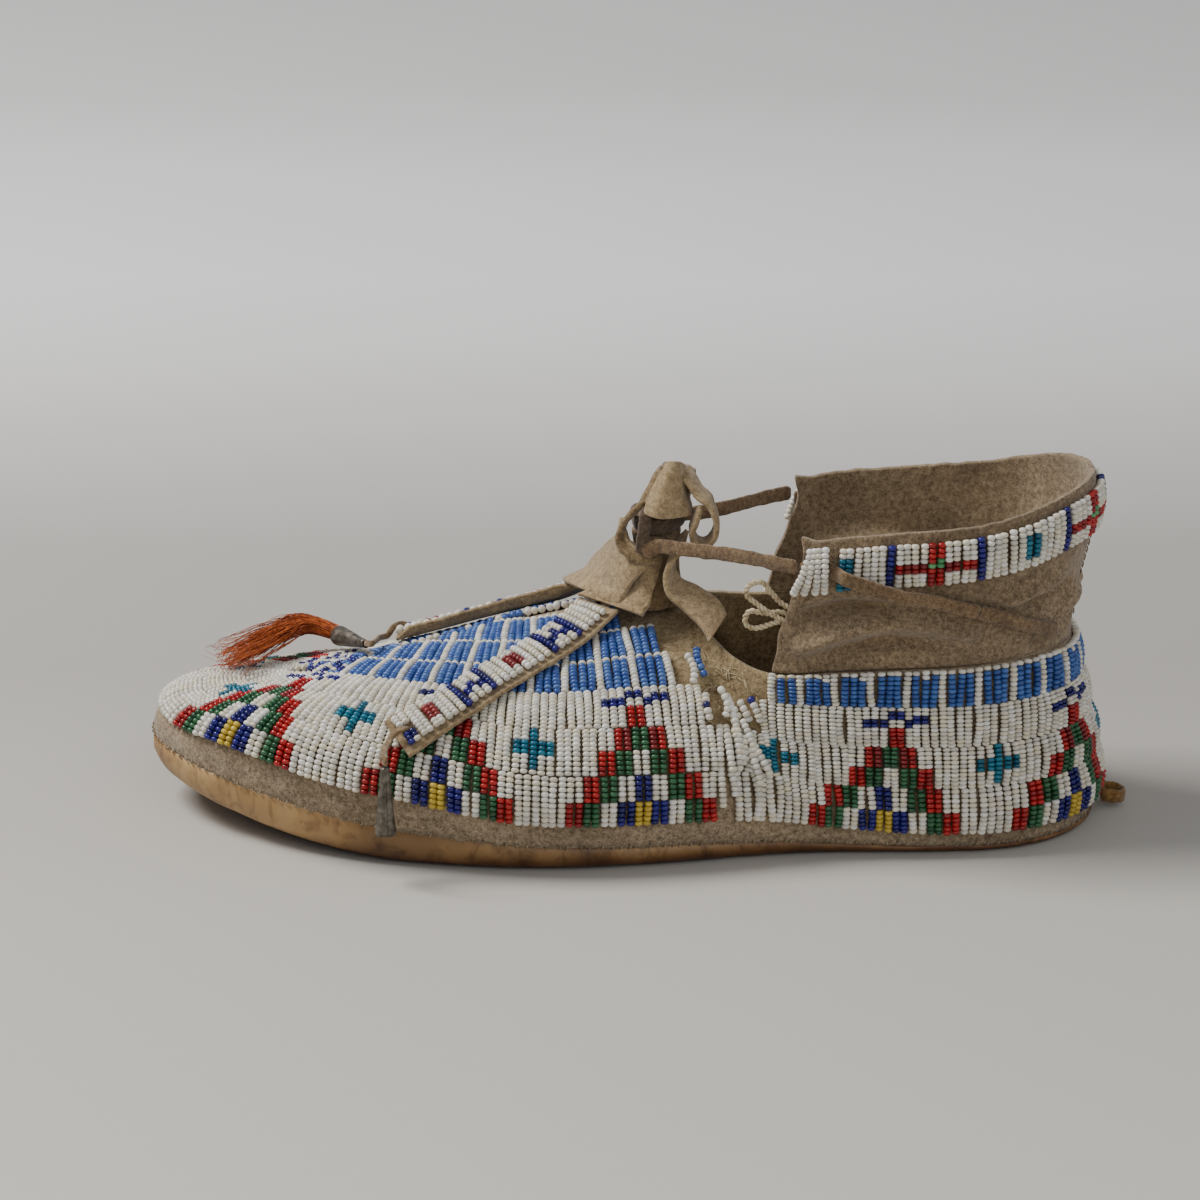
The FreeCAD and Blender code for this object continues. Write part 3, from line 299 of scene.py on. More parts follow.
def spot2(s, a):
    """surface point and outward normal at station s, arc a from the sole edge"""
    pr = profile_s(s)
    t = t_of_arc(pr, a)
    return P(s, t), normal(s, t)


def cuff_pn(side, i, t):
    def q(ii, tt):
        B, C1, C2, U, N = cuff_col(side, ii)
        return bez((B, C1, C2, U), tt)
    p = q(i, t)
    dt = sub(q(i, min(1, t + .02)), q(i, max(0, t - .02)))
    if i > 18.985:
        return p, unit((dt[2], 0.0, -dt[0]))
    ds = sub(q(min(i + 0.05, 19.0), t), q(max(i - 0.05, 12.0), t))
    n = unit(cross(ds, dt))
    return p, (n if side < 0 else tuple(-x for x in n))


def cuff_length(side, i):
    pts = [bez(cuff_col(side, i)[:4], k / 20) for k in range(21)]
    return sum(math.dist(a, b) for a, b in zip(pts, pts[1:]))


def lane_edges(s, k):
    mg = REV["mg"](s)
    e = [0.0, REV["b1"](s), REV["b2"](s), REV["b3"](s)]
    if k < 3:
        return mg + e[k] + LANE_GAP / 2, mg + e[k + 1] - LANE_GAP / 2
    return mg + e[3] + LANE_GAP / 2, profile_s(s)[1][-1] - 0.3


def nz(x, y, z, f=1.0, seed=0.0):
    return noise.noise(Vector((x * f + seed, y * f - seed * 0.7, z * f + seed * 1.3)))


# ---------------------------------------------------------------------------
# materials: each one a node tree
# ---------------------------------------------------------------------------
def lin(r, g, b):
    def f(c):
        c = c / 255.0
        return c / 12.92 if c <= 0.04045 else ((c + 0.055) / 1.055) ** 2.4
    return (f(r), f(g), f(b), 1.0)


def new_mat(name):
    m = bpy.data.materials.new(name)
    m.use_nodes = True
    nt = m.node_tree
    for n in list(nt.nodes):
        nt.nodes.remove(n)
    out = nt.nodes.new("ShaderNodeOutputMaterial")
    bs = nt.nodes.new("ShaderNodeBsdfPrincipled")
    nt.links.new(bs.outputs[0], out.inputs[0])
    return m, nt, bs


def put(nt, kind, **kw):
    n = nt.nodes.new(kind)
    for k, v in kw.items():
        setattr(n, k, v)
    return n


def noise_node(nt, co, scale, detail=3.0, rough=0.55, dist=0.0):
    n = put(nt, "ShaderNodeTexNoise")
    nt.links.new(co, n.inputs["Vector"])
    n.inputs["Scale"].default_value = scale
    n.inputs["Detail"].default_value = detail
    n.inputs["Roughness"].default_value = rough
    n.inputs["Distortion"].default_value = dist
    return n.outputs["Fac"]


def ramp(nt, fac, stops):
    r = put(nt, "ShaderNodeValToRGB")
    nt.links.new(fac, r.inputs[0])
    e = r.color_ramp.elements
    while len(e) < len(stops):
        e.new(0.5)
    for k, (p, c) in enumerate(stops):
        e[k].position = p
        e[k].color = c
    return r.outputs[0]


def mix(nt, fac, a, b, mode="MIX"):
    m = put(nt, "ShaderNodeMix", data_type="RGBA", blend_type=mode)
    for sock, v in ((m.inputs[0], fac), (m.inputs[6], a), (m.inputs[7], b)):
        if hasattr(v, "is_linked") or hasattr(v, "links"):
            nt.links.new(v, sock)
        else:
            sock.default_value = v
    return m.outputs[2]


def math_node(nt, op, a, b=None, clamp=False):
    m = put(nt, "ShaderNodeMath", operation=op)
    m.use_clamp = clamp
    for k, v in enumerate((a, b)):
        if v is None:
            continue
        if hasattr(v, "links"):
            nt.links.new(v, m.inputs[k])
        else:
            m.inputs[k].default_value = v
    return m.outputs[0]


def object_co(nt):
    return put(nt, "ShaderNodeTexCoord").outputs["Object"]


def bump(nt, bs, height, strength, dist):
    b = put(nt, "ShaderNodeBump")
    b.inputs["Strength"].default_value = strength
    b.inputs["Distance"].default_value = dist
    nt.links.new(height, b.inputs["Height"])
    nt.links.new(b.outputs[0], bs.inputs["Normal"])


def hide_mat(name, dark, mid, light, nap=1400.0, blotch=45.0, rough=0.95, strength=0.55, stain=None, stain_amt=0.5):
    """napped hide: a speckle of nap over slow blotches, with a felty bump"""
    m, nt, bs = new_mat(name)
    co = object_co(nt)
    fine = noise_node(nt, co, nap, 3.0, 0.7)
    mid_n = noise_node(nt, co, nap * 0.42, 2.0, 0.6)
    slow = noise_node(nt, co, blotch, 4.0, 0.6, 0.4)
    spec = math_node(nt, "ADD", math_node(nt, "MULTIPLY", fine, 0.55), math_node(nt, "MULTIPLY", mid_n, 0.45))
    col = ramp(nt, spec, [(0.36, dark), (0.5, mid), (0.64, light)])
    slow_c = ramp(nt, slow, [(0.3, (0.72, 0.70, 0.68, 1)), (0.52, (1, 1, 1, 1)), (0.75, (1.16, 1.13, 1.06, 1))])
    col = mix(nt, 1.0, col, slow_c, "MULTIPLY")
    if stain is not None:
        big = noise_node(nt, co, 22.0, 3.0, 0.6, 0.3)
        f = ramp(nt, big, [(0.52, (0, 0, 0, 1)), (0.72, (stain_amt,) * 3 + (1,))])
        col = mix(nt, f, col, stain)
    nt.links.new(col, bs.inputs["Base Color"])
    bs.inputs["Roughness"].default_value = rough
    bs.inputs["Specular IOR Level"].default_value = 0.18
    bs.inputs["Sheen Weight"].default_value = 0.25
    bs.inputs["Sheen Roughness"].default_value = 0.6
    h = math_node(nt, "ADD", math_node(nt, "MULTIPLY", fine, 0.6), math_node(nt, "MULTIPLY", mid_n, 0.7))
    bump(nt, bs, h, strength, 0.0006)
    return m


INSIDE = hide_mat("suede_inside", lin(108, 90, 66), lin(148, 127, 98), lin(178, 157, 126), 1700.0, 30.0, strength=0.35, stain=lin(76, 58, 42), stain_amt=0.7)
CUFF_MAT = hide_mat("cuff_suede", lin(92, 76, 56), lin(134, 114, 88), lin(170, 148, 117), 1900.0, 30.0, strength=0.5, stain=lin(98, 82, 62), stain_amt=0.6)
TONGUE_MAT = hide_mat("tongue_hide", lin(124, 102, 72), lin(158, 135, 100), lin(182, 160, 123), 1700.0, 40.0, strength=0.35, stain=lin(116, 92, 62), stain_amt=0.6)
FORK_MAT = hide_mat("fork_hide", lin(116, 96, 66), lin(150, 128, 94), lin(178, 156, 120), 1700.0, 60.0, strength=0.35)
TAB_MAT = hide_mat("heel_tab_hide", lin(92, 66, 30), lin(132, 98, 50), lin(160, 124, 72), 1500.0, 60.0, strength=0.4)
THONG_MAT = hide_mat("lace_thong", lin(84, 64, 44), lin(120, 96, 68), lin(150, 124, 92), 1900.0, 50.0, strength=0.6)
# a darker copy of the tongue hide: painted shade for the hide gathered inside and rolled under the wraps
TONGUE_PAINTED_SHADE = hide_mat("tongue_hide_painted_shade", lin(92, 72, 46), lin(126, 104, 72), lin(152, 130, 96), 1700.0, 40.0, strength=0.4)
WRAP_MAT = hide_mat("lace_wrap", lin(62, 48, 36), lin(88, 72, 56), lin(112, 94, 74), 1900.0, 50.0, strength=0.6)
THONG_PALE = hide_mat("cone_thong", lin(80, 62, 42), lin(124, 100, 70), lin(160, 134, 98), 1500.0, 60.0, strength=0.7)


def upper_mat():
    """the beaded sheet's own hide: grey-brown margin, paler and scuffed where the foot bends"""
    m, nt, bs = new_mat("upper_hide")
    co = object_co(nt)
    fine = noise_node(nt, co, 1900.0, 3.0, 0.7)
    mid_n = noise_node(nt, co, 760.0, 2.0, 0.6)
    slow = noise_node(nt, co, 40.0, 4.0, 0.6, 0.4)
    spec = math_node(nt, "ADD", math_node(nt, "MULTIPLY", fine, 0.55), math_node(nt, "MULTIPLY", mid_n, 0.45))
    margin = ramp(nt, spec, [(0.36, lin(104, 89, 70)), (0.5, lin(148, 130, 106)), (0.64, lin(182, 164, 138))])
    pale = ramp(nt, spec, [(0.34, lin(104, 86, 60)), (0.5, lin(150, 130, 96)), (0.66, lin(184, 166, 130))])
    sep = put(nt, "ShaderNodeSeparateXYZ")
    nt.links.new(co, sep.inputs[0])
    wob = math_node(nt, "MULTIPLY", slow, 0.014)
    z = math_node(nt, "ADD", sep.outputs[2], wob)
    up = math_node(nt, "MULTIPLY", math_node(nt, "SUBTRACT", z, 0.024), 90.0, True)
    x = math_node(nt, "ADD", sep.outputs[0], wob)
    fore = math_node(nt, "MULTIPLY", math_node(nt, "SUBTRACT", x, 0.004), 120.0, True)
    aft = math_node(nt, "MULTIPLY", math_node(nt, "SUBTRACT", 0.052, x), 120.0, True)
    zone = math_node(nt, "MULTIPLY", math_node(nt, "MULTIPLY", fore, aft), up)
    col = mix(nt, zone, margin, pale)
    shade = ramp(nt, slow, [(0.3, (0.74, 0.72, 0.7, 1)), (0.55, (1, 1, 1, 1)), (0.75, (1.15, 1.12, 1.06, 1))])
    col = mix(nt, 1.0, col, shade, "MULTIPLY")
    nt.links.new(col, bs.inputs["Base Color"])
    bs.inputs["Roughness"].default_value = 0.95
    bs.inputs["Specular IOR Level"].default_value = 0.18
    bs.inputs["Sheen Weight"].default_value = 0.2
    h = math_node(nt, "ADD", math_node(nt, "MULTIPLY", fine, 0.6), math_node(nt, "MULTIPLY", mid_n, 0.7))
    bump(nt, bs, h, 0.4, 0.0006)
    return m


UPPER_MAT = upper_mat()


def rawhide_mat():
    """hard tan rawhide: satin, softly blotched, darker towards the bottom"""
    m, nt, bs = new_mat("rawhide")
    co = object_co(nt)
    broad = noise_node(nt, co, 55.0, 3.0, 0.55, 0.5)
    slow = noise_node(nt, co, 26.0, 3.0, 0.55, 0.4)
    fine = noise_node(nt, co, 900.0, 3.0, 0.6)
    spots = noise_node(nt, co, 210.0, 3.0, 0.6, 0.3)
    col = ramp(nt, slow, [(0.30, lin(118, 86, 50)), (0.5, lin(162, 126, 79)), (0.72, lin(192, 160, 112))])
    st = ramp(nt, broad, [(0.3, (0.64, 0.59, 0.52, 1)), (0.46, (0.95, 0.93, 0.90, 1)), (0.58, (1, 1, 1, 1)), (0.72, (1.10, 1.08, 1.04, 1))])
    col = mix(nt, 1.0, col, st, "MULTIPLY")
    sp = ramp(nt, spots, [(0.30, (0.50, 0.43, 0.36, 1)), (0.47, (1, 1, 1, 1)), (0.9, (1, 1, 1, 1))])
    col = mix(nt, 0.8, col, sp, "MULTIPLY")
    # painted shade: thin dark lines for the shade in creases where the rawhide was worked up round the foot
    tall = put(nt, "ShaderNodeVectorMath")
    tall.operation = "MULTIPLY"
    nt.links.new(co, tall.inputs[0])
    tall.inputs[1].default_value = (1.0, 1.0, 0.22)
    crease = noise_node(nt, tall.outputs[0], 75.0, 2.0, 0.5, 0.3)
    line = ramp(nt, crease, [(0.455, (1, 1, 1, 1)), (0.49, (0.80, 0.76, 0.70, 1)), (0.50, (0.58, 0.52, 0.45, 1)), (0.512, (0.96, 0.94, 0.9, 1)), (0.55, (1, 1, 1, 1))])
    col = mix(nt, 0.75, col, line, "MULTIPLY")
    # darker towards the bottom: the colour is multiplied down below about 8.5 mm height
    sep = put(nt, "ShaderNodeSeparateXYZ")
    nt.links.new(co, sep.inputs[0])
    zz = math_node(nt, "ADD", sep.outputs[2], math_node(nt, "MULTIPLY", broad, 0.004))
    low = math_node(nt, "MULTIPLY", math_node(nt, "SUBTRACT", 0.0085, zz), 210.0, True)
    col = mix(nt, low, col, mix(nt, 1.0, col, lin(158, 128, 98), "MULTIPLY"))
    nt.links.new(col, bs.inputs["Base Color"])
    rr = ramp(nt, broad, [(0.3, (0.40, 0.40, 0.40, 1)), (0.7, (0.54, 0.54, 0.54, 1))])
    nt.links.new(rr, bs.inputs["Roughness"])
    h = math_node(nt, "ADD", math_node(nt, "MULTIPLY", spots, 0.9), math_node(nt, "MULTIPLY", fine, 0.12))
    bump(nt, bs, h, 0.45, 0.0008)
    return m


RAWHIDE = rawhide_mat()


def tin_mat():
    m, nt, bs = new_mat("tarnished_tin")
    co = object_co(nt)
    a = noise_node(nt, co, 420.0, 4.0, 0.6, 0.5)
    b = noise_node(nt, co, 1600.0, 3.0, 0.6)
    col = ramp(nt, a, [(0.3, lin(66, 61, 54)), (0.5, lin(108, 102, 93)), (0.66, lin(142, 135, 124)), (0.82, lin(112, 86, 62))])
    nt.links.new(col, bs.inputs["Base Color"])
    bs.inputs["Metallic"].default_value = 0.85
    r = ramp(nt, a, [(0.3, (0.36, 0.36, 0.36, 1)), (0.7, (0.56, 0.56, 0.56, 1))])
    nt.links.new(r, bs.inputs["Roughness"])
    bump(nt, bs, b, 0.35, 0.0003)
    return m


TIN = tin_mat()


def thread_mat(name, dark, light, rough=0.8):
    m, nt, bs = new_mat(name)
    co = object_co(nt)
    a = noise_node(nt, co, 700.0, 3.0, 0.6)
    nt.links.new(ramp(nt, a, [(0.35, dark), (0.65, light)]), bs.inputs["Base Color"])
    bs.inputs["Roughness"].default_value = rough
    bump(nt, bs, noise_node(nt, co, 2200.0, 2.0, 0.5), 0.5, 0.0003)
    return m


SINEW = thread_mat("sinew", lin(168, 148, 112), lin(216, 202, 170))
SINEW_DULL = thread_mat("sinew_dull", lin(120, 104, 80), lin(172, 156, 128))
HAIR_MAT = thread_mat("dyed_horsehair", lin(160, 66, 22), lin(206, 108, 46), 0.45)
HAIR_DARK = thread_mat("dyed_horsehair_dark", lin(96, 34, 14), lin(150, 62, 24), 0.45)
FLOOR_CO = None


def bead_mat(name, c, rough):
    """glass bead: one colour of glass, its polish varying over the surface"""
    m, nt, bs = new_mat("bead_" + name)
    bs.inputs["Base Color"].default_value = c
    bs.inputs["Roughness"].default_value = rough
    bs.inputs["IOR"].default_value = 1.5
    co = object_co(nt)
    n = noise_node(nt, co, 900.0, 2.0, 0.5)
    sp = put(nt, "ShaderNodeMapRange")
    nt.links.new(n, sp.inputs[0])
    sp.inputs[3].default_value = 0.3
    sp.inputs[4].default_value = 0.75
    nt.links.new(sp.outputs[0], bs.inputs["Specular IOR Level"])
    return m


GLASS = {
    "W": [(226, 222, 211, .34), (220, 214, 201, .36), (232, 229, 221, .32), (211, 204, 188, .38), (224, 216, 194, .36), (204, 200, 190, .4)],
    "B": [(60, 92, 160, .3), (70, 104, 170, .32), (52, 82, 150, .3), (80, 112, 168, .34)],
    "b": [(56, 92, 158, .3), (66, 106, 172, .3), (48, 80, 146, .32)],
    "N": [(20, 18, 104, .24), (15, 14, 84, .24), (30, 26, 118, .28)],
    "R": [(158, 18, 20, .24), (136, 14, 18, .24), (176, 26, 26, .26)],
    "D": [(112, 18, 22, .3), (128, 30, 32, .32)],
    "G": [(38, 88, 54, .26), (30, 74, 46, .28), (52, 102, 66, .28)],
    "L": [(92, 160, 104, .28), (76, 142, 92, .3)],
    "Y": [(200, 174, 66, .28), (188, 160, 54, .3)],
    "T": [(18, 100, 124, .26), (26, 114, 138, .28), (14, 86, 110, .28)],
    "F": [(124, 38, 38, .32), (142, 48, 46, .32)],
}
BEAD_MATS, BEAD_SLOT = [], {}
for key, rows_ in GLASS.items():
    BEAD_SLOT[key] = []
    for k, (r, g, b, ro) in enumerate(rows_):
        BEAD_SLOT[key].append(len(BEAD_MATS))
        word = {"W": "white", "B": "blue", "b": "deep_blue", "N": "navy", "R": "red", "D": "dark_red", "G": "green", "L": "light_green", "Y": "yellow", "T": "turquoise", "F": "dusty_red"}[key]
        BEAD_MATS.append(bead_mat("%s_%d" % (word, k + 1), lin(r, g, b), ro))


# ---------------------------------------------------------------------------
# mesh helpers
# ---------------------------------------------------------------------------
def place(me, name, body, replaces=(), stage=False):
    ob = bpy.data.objects.new(name, me)
    bpy.context.scene.collection.objects.link(ob)
    if body:
        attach(ob, body)
    if replaces:
        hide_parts(*replaces)
    return ob


def mesh_piece(name, verts, faces, mats, body="shoe", replaces=(), idx=None, smooth=True, merge=0.0, recalc=False):
    me = bpy.data.meshes.new(name)
    me.from_pydata([((x + FX) / 1000, (y + FY) / 1000, z / 1000) for x, y, z in verts], [], faces)
    for m in mats:
        me.materials.append(m)
    if idx is not None:
        me.polygons.foreach_set("material_index", idx)
    if merge or recalc:
        bm = bmesh.new()
        bm.from_mesh(me)
        if merge:
            bmesh.ops.remove_doubles(bm, verts=bm.verts, dist=merge / 1000)
        if recalc:
            bmesh.ops.recalc_face_normals(bm, faces=bm.faces)
        bm.to_mesh(me)
        bm.free()
    if smooth:
        me.polygons.foreach_set("use_smooth", [True] * len(me.polygons))
    me.update()
    return place(me, name, body, replaces)


SEG = 10
RINGS = [(-0.5, 0.44), (-0.40, 0.80), (-0.16, 0.99), (0.16, 0.99), (0.40, 0.80), (0.5, 0.44)]
T_V = np.array([(math.cos(2 * math.pi * k / SEG) * r, math.sin(2 * math.pi * k / SEG) * r, z) for z, r in RINGS for k in range(SEG)])
T_F = [[a * SEG + k, a * SEG + (k + 1) % SEG, (a + 1) * SEG + (k + 1) % SEG, (a + 1) * SEG + k] for a in range(len(RINGS) - 1) for k in range(SEG)]
T_F += [list(range(SEG))[::-1], [(len(RINGS) - 1) * SEG + k for k in range(SEG)]]
T_LOOPS = np.array([v for f in T_F for v in f])
T_COUNT = np.array([len(f) for f in T_F])


def bead_piece(name, beads, body, replaces=()):
    """beads: (centre, axis, normal, radius, length, colour key), all in mm"""
    n = len(beads)
    C = np.array([b[0] for b in beads], float)
    A = np.array([b[1] for b in beads], float)
    N = np.array([b[2] for b in beads], float)
    A /= np.linalg.norm(A, axis=1)[:, None]
    N = N - A * (A * N).sum(1)[:, None]
    N /= np.maximum(np.linalg.norm(N, axis=1)[:, None], 1e-9)
    Bi = np.cross(A, N)
    R = np.array([b[3] for b in beads])[:, None, None]
    L = np.array([b[4] for b in beads])[:, None, None]
    spin = np.array([RNG.random() * 6.283 for _ in beads])
    c, s_ = np.cos(spin)[:, None], np.sin(spin)[:, None]
    X = N * c + Bi * s_
    Y = -N * s_ + Bi * c
    ov = np.array([1 + 0.05 * (RNG.random() - 0.5) for _ in beads])[:, None, None]
    V = C[:, None, :] + X[:, None, :] * (T_V[None, :, 0:1] * R * ov) + Y[:, None, :] * (T_V[None, :, 1:2] * R / ov) + A[:, None, :] * (T_V[None, :, 2:3] * L)
    V = V.reshape(-1, 3)
    V[:, 0] += FX
    V[:, 1] += FY
    V /= 1000.0
    nv = len(T_V)
    loops = (T_LOOPS[None, :] + (np.arange(n) * nv)[:, None]).reshape(-1)
    counts = np.tile(T_COUNT, n)
    starts = np.concatenate(([0], np.cumsum(counts)[:-1]))
    me = bpy.data.meshes.new(name)
    me.vertices.add(len(V))
    me.vertices.foreach_set("co", V.astype(np.float32).reshape(-1))
    me.loops.add(len(loops))
    me.loops.foreach_set("vertex_index", loops.astype(np.int32))
    me.polygons.add(len(counts))
    me.polygons.foreach_set("loop_start", starts.astype(np.int32))
    me.polygons.foreach_set("loop_total", counts.astype(np.int32))
    used, slot_of, mi = [], {}, []
    for b in beads:
        g = RNG.choice(BEAD_SLOT[b[5]])
        if g not in slot_of:
            slot_of[g] = len(used)
            used.append(g)
        mi.append(slot_of[g])
    for g in used:
        me.materials.append(BEAD_MATS[g])
    me.polygons.foreach_set("material_index", np.repeat(np.array(mi, np.int32), len(T_F)))
    me.polygons.foreach_set("use_smooth", np.ones(len(counts), bool))
    me.update(calc_edges=True)
    me.validate()
    return place(me, name, body, replaces)


def string_beads(pts, nrm, colors, r=BEAD_R, gap=1.0):
    """beads strung along a line of points, one at each point"""
    out = []
    m = len(pts)
    for k in range(m):
        a = pts[max(k - 1, 0)]
        b = pts[min(k + 1, m - 1)]
        d = sub(b, a)
        L = math.dist(a, b) / (1 if k in (0, m - 1) else 2)
        d = add(unit(d), (RNG.gauss(0, .035), RNG.gauss(0, .035), RNG.gauss(0, .035)))
        if colors[k] == " ":
            continue
        out.append((pts[k], d, nrm[k], r * RNG.uniform(0.94, 1.05), L * gap * RNG.uniform(0.93, 1.03), colors[k]))
    return out


def bead_column(at, lo, hi, colors, hump=0.5, lift=0.1, r=BEAD_R, jit=0.12, tilt=0.25, bow=0.18, wild=0.0):
    """one thread of beads laid over the surface from arc lo to arc hi; at(a) gives point and normal"""
    n = len(colors)
    if n < 2:
        return []
    j0, t0, b0 = RNG.gauss(0, jit), RNG.gauss(0, tilt), RNG.gauss(0, bow)
    h = hump * RNG.uniform(0.7, 1.3)
    if wild:
        t0 += RNG.uniform(-1, 1) * 2.2 * wild
        b0 += RNG.uniform(-1, 1) * 1.4 * wild
        h += RNG.uniform(0.0, 1.6) * wild
    base = []
    e0, e1 = RNG.uniform(-0.12, 0.12), RNG.uniform(-0.12, 0.12)
    for j in range(n):
        v = (j + 0.5) / n
        base.append((v,) + tuple(at(lo + e0 + (hi + e1 - lo - e0) * v)))
    pts, nr = [], []
    for j, (v, p, q) in enumerate(base):
        a = base[max(j - 1, 0)][1]
        b = base[min(j + 1, n - 1)][1]
        d = unit(sub(b, a))
        side = unit(cross(d, q))
        w = 4 * v * (1 - v)
        off = lift + r + h * w
        p = add(p, q, off)
        p = add(p, side, j0 + t0 * (v - 0.5) + b0 * w)
        pts.append(p)
        nr.append(q)
    return string_beads(pts, nr, colors, r)


# ---------------------------------------------------------------------------
# the upper's hide: a closed shell with a puckered margin
# ---------------------------------------------------------------------------
def upper_hide():
    NC, NR = 210, 30
    cols = []
    for k in range(NC + 1):
        kc = int(NC * 0.5)
        i = 9.0 * k / kc if k <= kc else 9.0 + 10.0 * (k - kc) / (NC - kc)
        cols.append(i)
    verts, faces = [], []
    mg = REV["mg"]

    def off_at(s, t, a, m):
        x, y, z = P(s, t)
        f = 0.0
        if a < m + 1.0:
            w = smoothstep(0.0, 1.5, a) * (1 - smoothstep(m - 2.0, m + 1.0, a))
            f += w * (0.45 * nz(x, y, z, 0.16) + 0.22 * nz(x, y, z, 0.5, 3.1))
            f += (1 - smoothstep(0.2, 2.4, a)) * 0.22 * math.sin(s * 30.0 + 2.0 * nz(x, y, z, 0.1))
        else:
            f += 0.12 * nz(x, y, z, 0.3, 5.0)
        return f

    for side in (-1, 1):
        for layer in (0, 1):
            base = len(verts)
            for i in cols:
                s = station(side, i)
                pr = profile_s(s)
                L = pr[1][-1]
                m = mg(s)
                for r in range(NR + 1):
                    t = r / NR
                    t = t * 0.55 + 0.45 * t * t if t < 1 else 1.0
                    a = pr[1][min(int(t * 40), 40)]
                    p, n = P(s, t), normal(s, t)
                    o = off_at(s, t, a, m)
                    if i <= 9.0 and t > 0.93:
                        o *= (1 - t) / 0.07
                    p = add(p, n, o if layer == 0 else -HIDE + 0.5 * o)
                    if r == 0:
                        p = (p[0], p[1], p[2] + 0.05)
                    verts.append(p)
            w = NR + 1
            for k in range(NC):
                for r in range(NR):
                    a, b, c, d = base + k * w + r, base + (k + 1) * w + r, base + (k + 1) * w + r + 1, base + k * w + r + 1
                    f = (a, b, c, d)
                    if (side > 0) != (layer == 1):
                        f = f[::-1]
                    faces.append(f)
        w = NR + 1
        o0 = len(verts) - 2 * (NC + 1) * w
        i0 = len(verts) - (NC + 1) * w
        for k in range(NC):
            f = (o0 + k * w, i0 + k * w, i0 + (k + 1) * w, o0 + (k + 1) * w)
            faces.append(f if side > 0 else f[::-1])
            if cols[k] >= 9.0:
                r = NR
                f = (o0 + k * w + r, o0 + (k + 1) * w + r, i0 + (k + 1) * w + r, i0 + k * w + r)
                faces.append(f if side > 0 else f[::-1])
    return mesh_piece("upper_hide", verts, faces, [UPPER_MAT], "shoe", ("upper",), merge=0.02, recalc=True)


upper_hide()


# ---------------------------------------------------------------------------
# rawhide sole
# ---------------------------------------------------------------------------
def sole_mesh():
    NS = 400
    verts, faces = [], []
    rings_ = []
    for k in range(NS):
        s = 38.0 * k / NS
        x, y = RBx(s), RBy(s)
        tx, ty = RBx(s, 1), RBy(s, 1)
        L = math.hypot(tx, ty)
        nx, ny = ty / L, -tx / L
        ze = REV["Bz"](s)
        toe = max(0.0, min(1.0, (-60.0 - x) / 60.0))
        ins = SOLE_INSET + 9.0 * toe
        f1, f2, f3, f4 = 0.62 + 0.16 * toe, 0.30 + 0.32 * toe, 0.10 + 0.36 * toe, 0.14 * toe
        q2_, q3_, q4_ = 0.6 + 0.3 * toe, (0.30 - 0.06 * toe) * ins, 0.62 * ins
        wav = 0.28 * nz(x, y, 0, 0.05, 1.0) + 0.10 * nz(x, y, 0, 0.25, 2.0)
        dz = 0.45 * nz(x, y, 3, 0.07, 4.0) + 0.16 * nz(x, y, 3, 0.3, 6.0)
        crease = -0.5 * max(0.0, nz(x, y, 0, 0.09, 9.0) - 0.2) * 2.0
        prof = [(0.35, ze + dz + 0.3, 0.3, 0), (-0.2, ze + dz + 0.15, 0.8, 0), (-0.32, ze * (0.5 + 0.5 * f1) + dz * 0.6, 1.0, 0), (-0.3, ze * f1, 1.0, 0), (0.5 * (q2_ - 0.25), ze * (0.48 * f1 + 0.52 * f2), 1.0, 0), (q2_, ze * f2, 0.9, 0), (0.5 * (q2_ + q3_) - 0.15, ze * (0.42 * f2 + 0.58 * f3), 0.7, 0.02), (q3_, ze * f3, 0.5, 0.05), (0.5 * (q3_ + q4_), ze * (0.42 * f3 + 0.58 * f4), 0.2, 0.24), (q4_, ze * f4, 0.0, 0.5), (ins, 0.0, 0.0, 1.0), (ins + 6.0, 0.0, 0.0, 1.0)]
        inner = [(ins + 7.0, SOLE_T, 0, 1.0), (ins + 1.2, SOLE_T, 0, 1.0), (q4_ + 1.4, ze * f4 + SOLE_T, 0, 0.5), (q3_ + 1.6, ze * f3 + SOLE_T, 0, 0.05), (SOLE_T + 0.3 * toe, ze * f2 + 1.6, 0, 0), (SOLE_T * 0.85, ze * f1 + 0.5, 0, 0), (SOLE_T * 0.8, ze - 0.1 + dz * 0.5, 0, 0), (SOLE_T * 0.42, ze + dz + 0.45, 0, 0)]
        row_ = []
        for q, z, w, d in prof + inner:
            q2 = q - (wav + crease * (1.0 if w else 0)) * w
            row_.append((x - q2 * nx + 15.0 * toe * d, y - q2 * ny, max(z, 0.0)))
        rings_.append(row_)
    w = len(rings_[0])
    for r in rings_:
        verts += r
    for k in range(NS):
        a, b = k * w, ((k + 1) % NS) * w
        for j in range(w):
            j2 = (j + 1) % w
            if j == 11:
                continue
            faces.append((a + j, a + j2, b + j2, b + j))
    faces.append([k * w + 11 for k in range(NS)])
    faces.append([k * w + 12 for k in range(NS)][::-1])
    ob = mesh_piece("rawhide_sole_skin", verts, faces, [RAWHIDE], "shoe", ("rawhide_sole",), recalc=True)
    return ob


sole_mesh()


# ---------------------------------------------------------------------------
# beadwork lanes round the upper
# ---------------------------------------------------------------------------
def lane_columns(s0, s1, arc_of, pitch):
    """stations s0..s1 spaced by pitch along the lane's middle"""
    n = max(int(abs(s1 - s0) / 0.05), 4)
    ss = [s0 + (s1 - s0) * k / n for k in range(n + 1)]
    pts = []
    for s in ss:
        pr = profile_s(s)
        pts.append(at_arc(pr, arc_of(s)))
    cum = [0.0]
    for a, b in zip(pts, pts[1:]):
        cum.append(cum[-1] + math.dist(a, b))
    m = max(1, round(cum[-1] / pitch))
    out, k = [], 0
    for c in range(m):
        d = (c + 0.5) * cum[-1] / m
        while cum[k + 1] < d:
            k += 1
        f = (d - cum[k]) / (cum[k + 1] - cum[k])
        out.append(ss[k] + f * (ss[k + 1] - ss[k]))
    return out


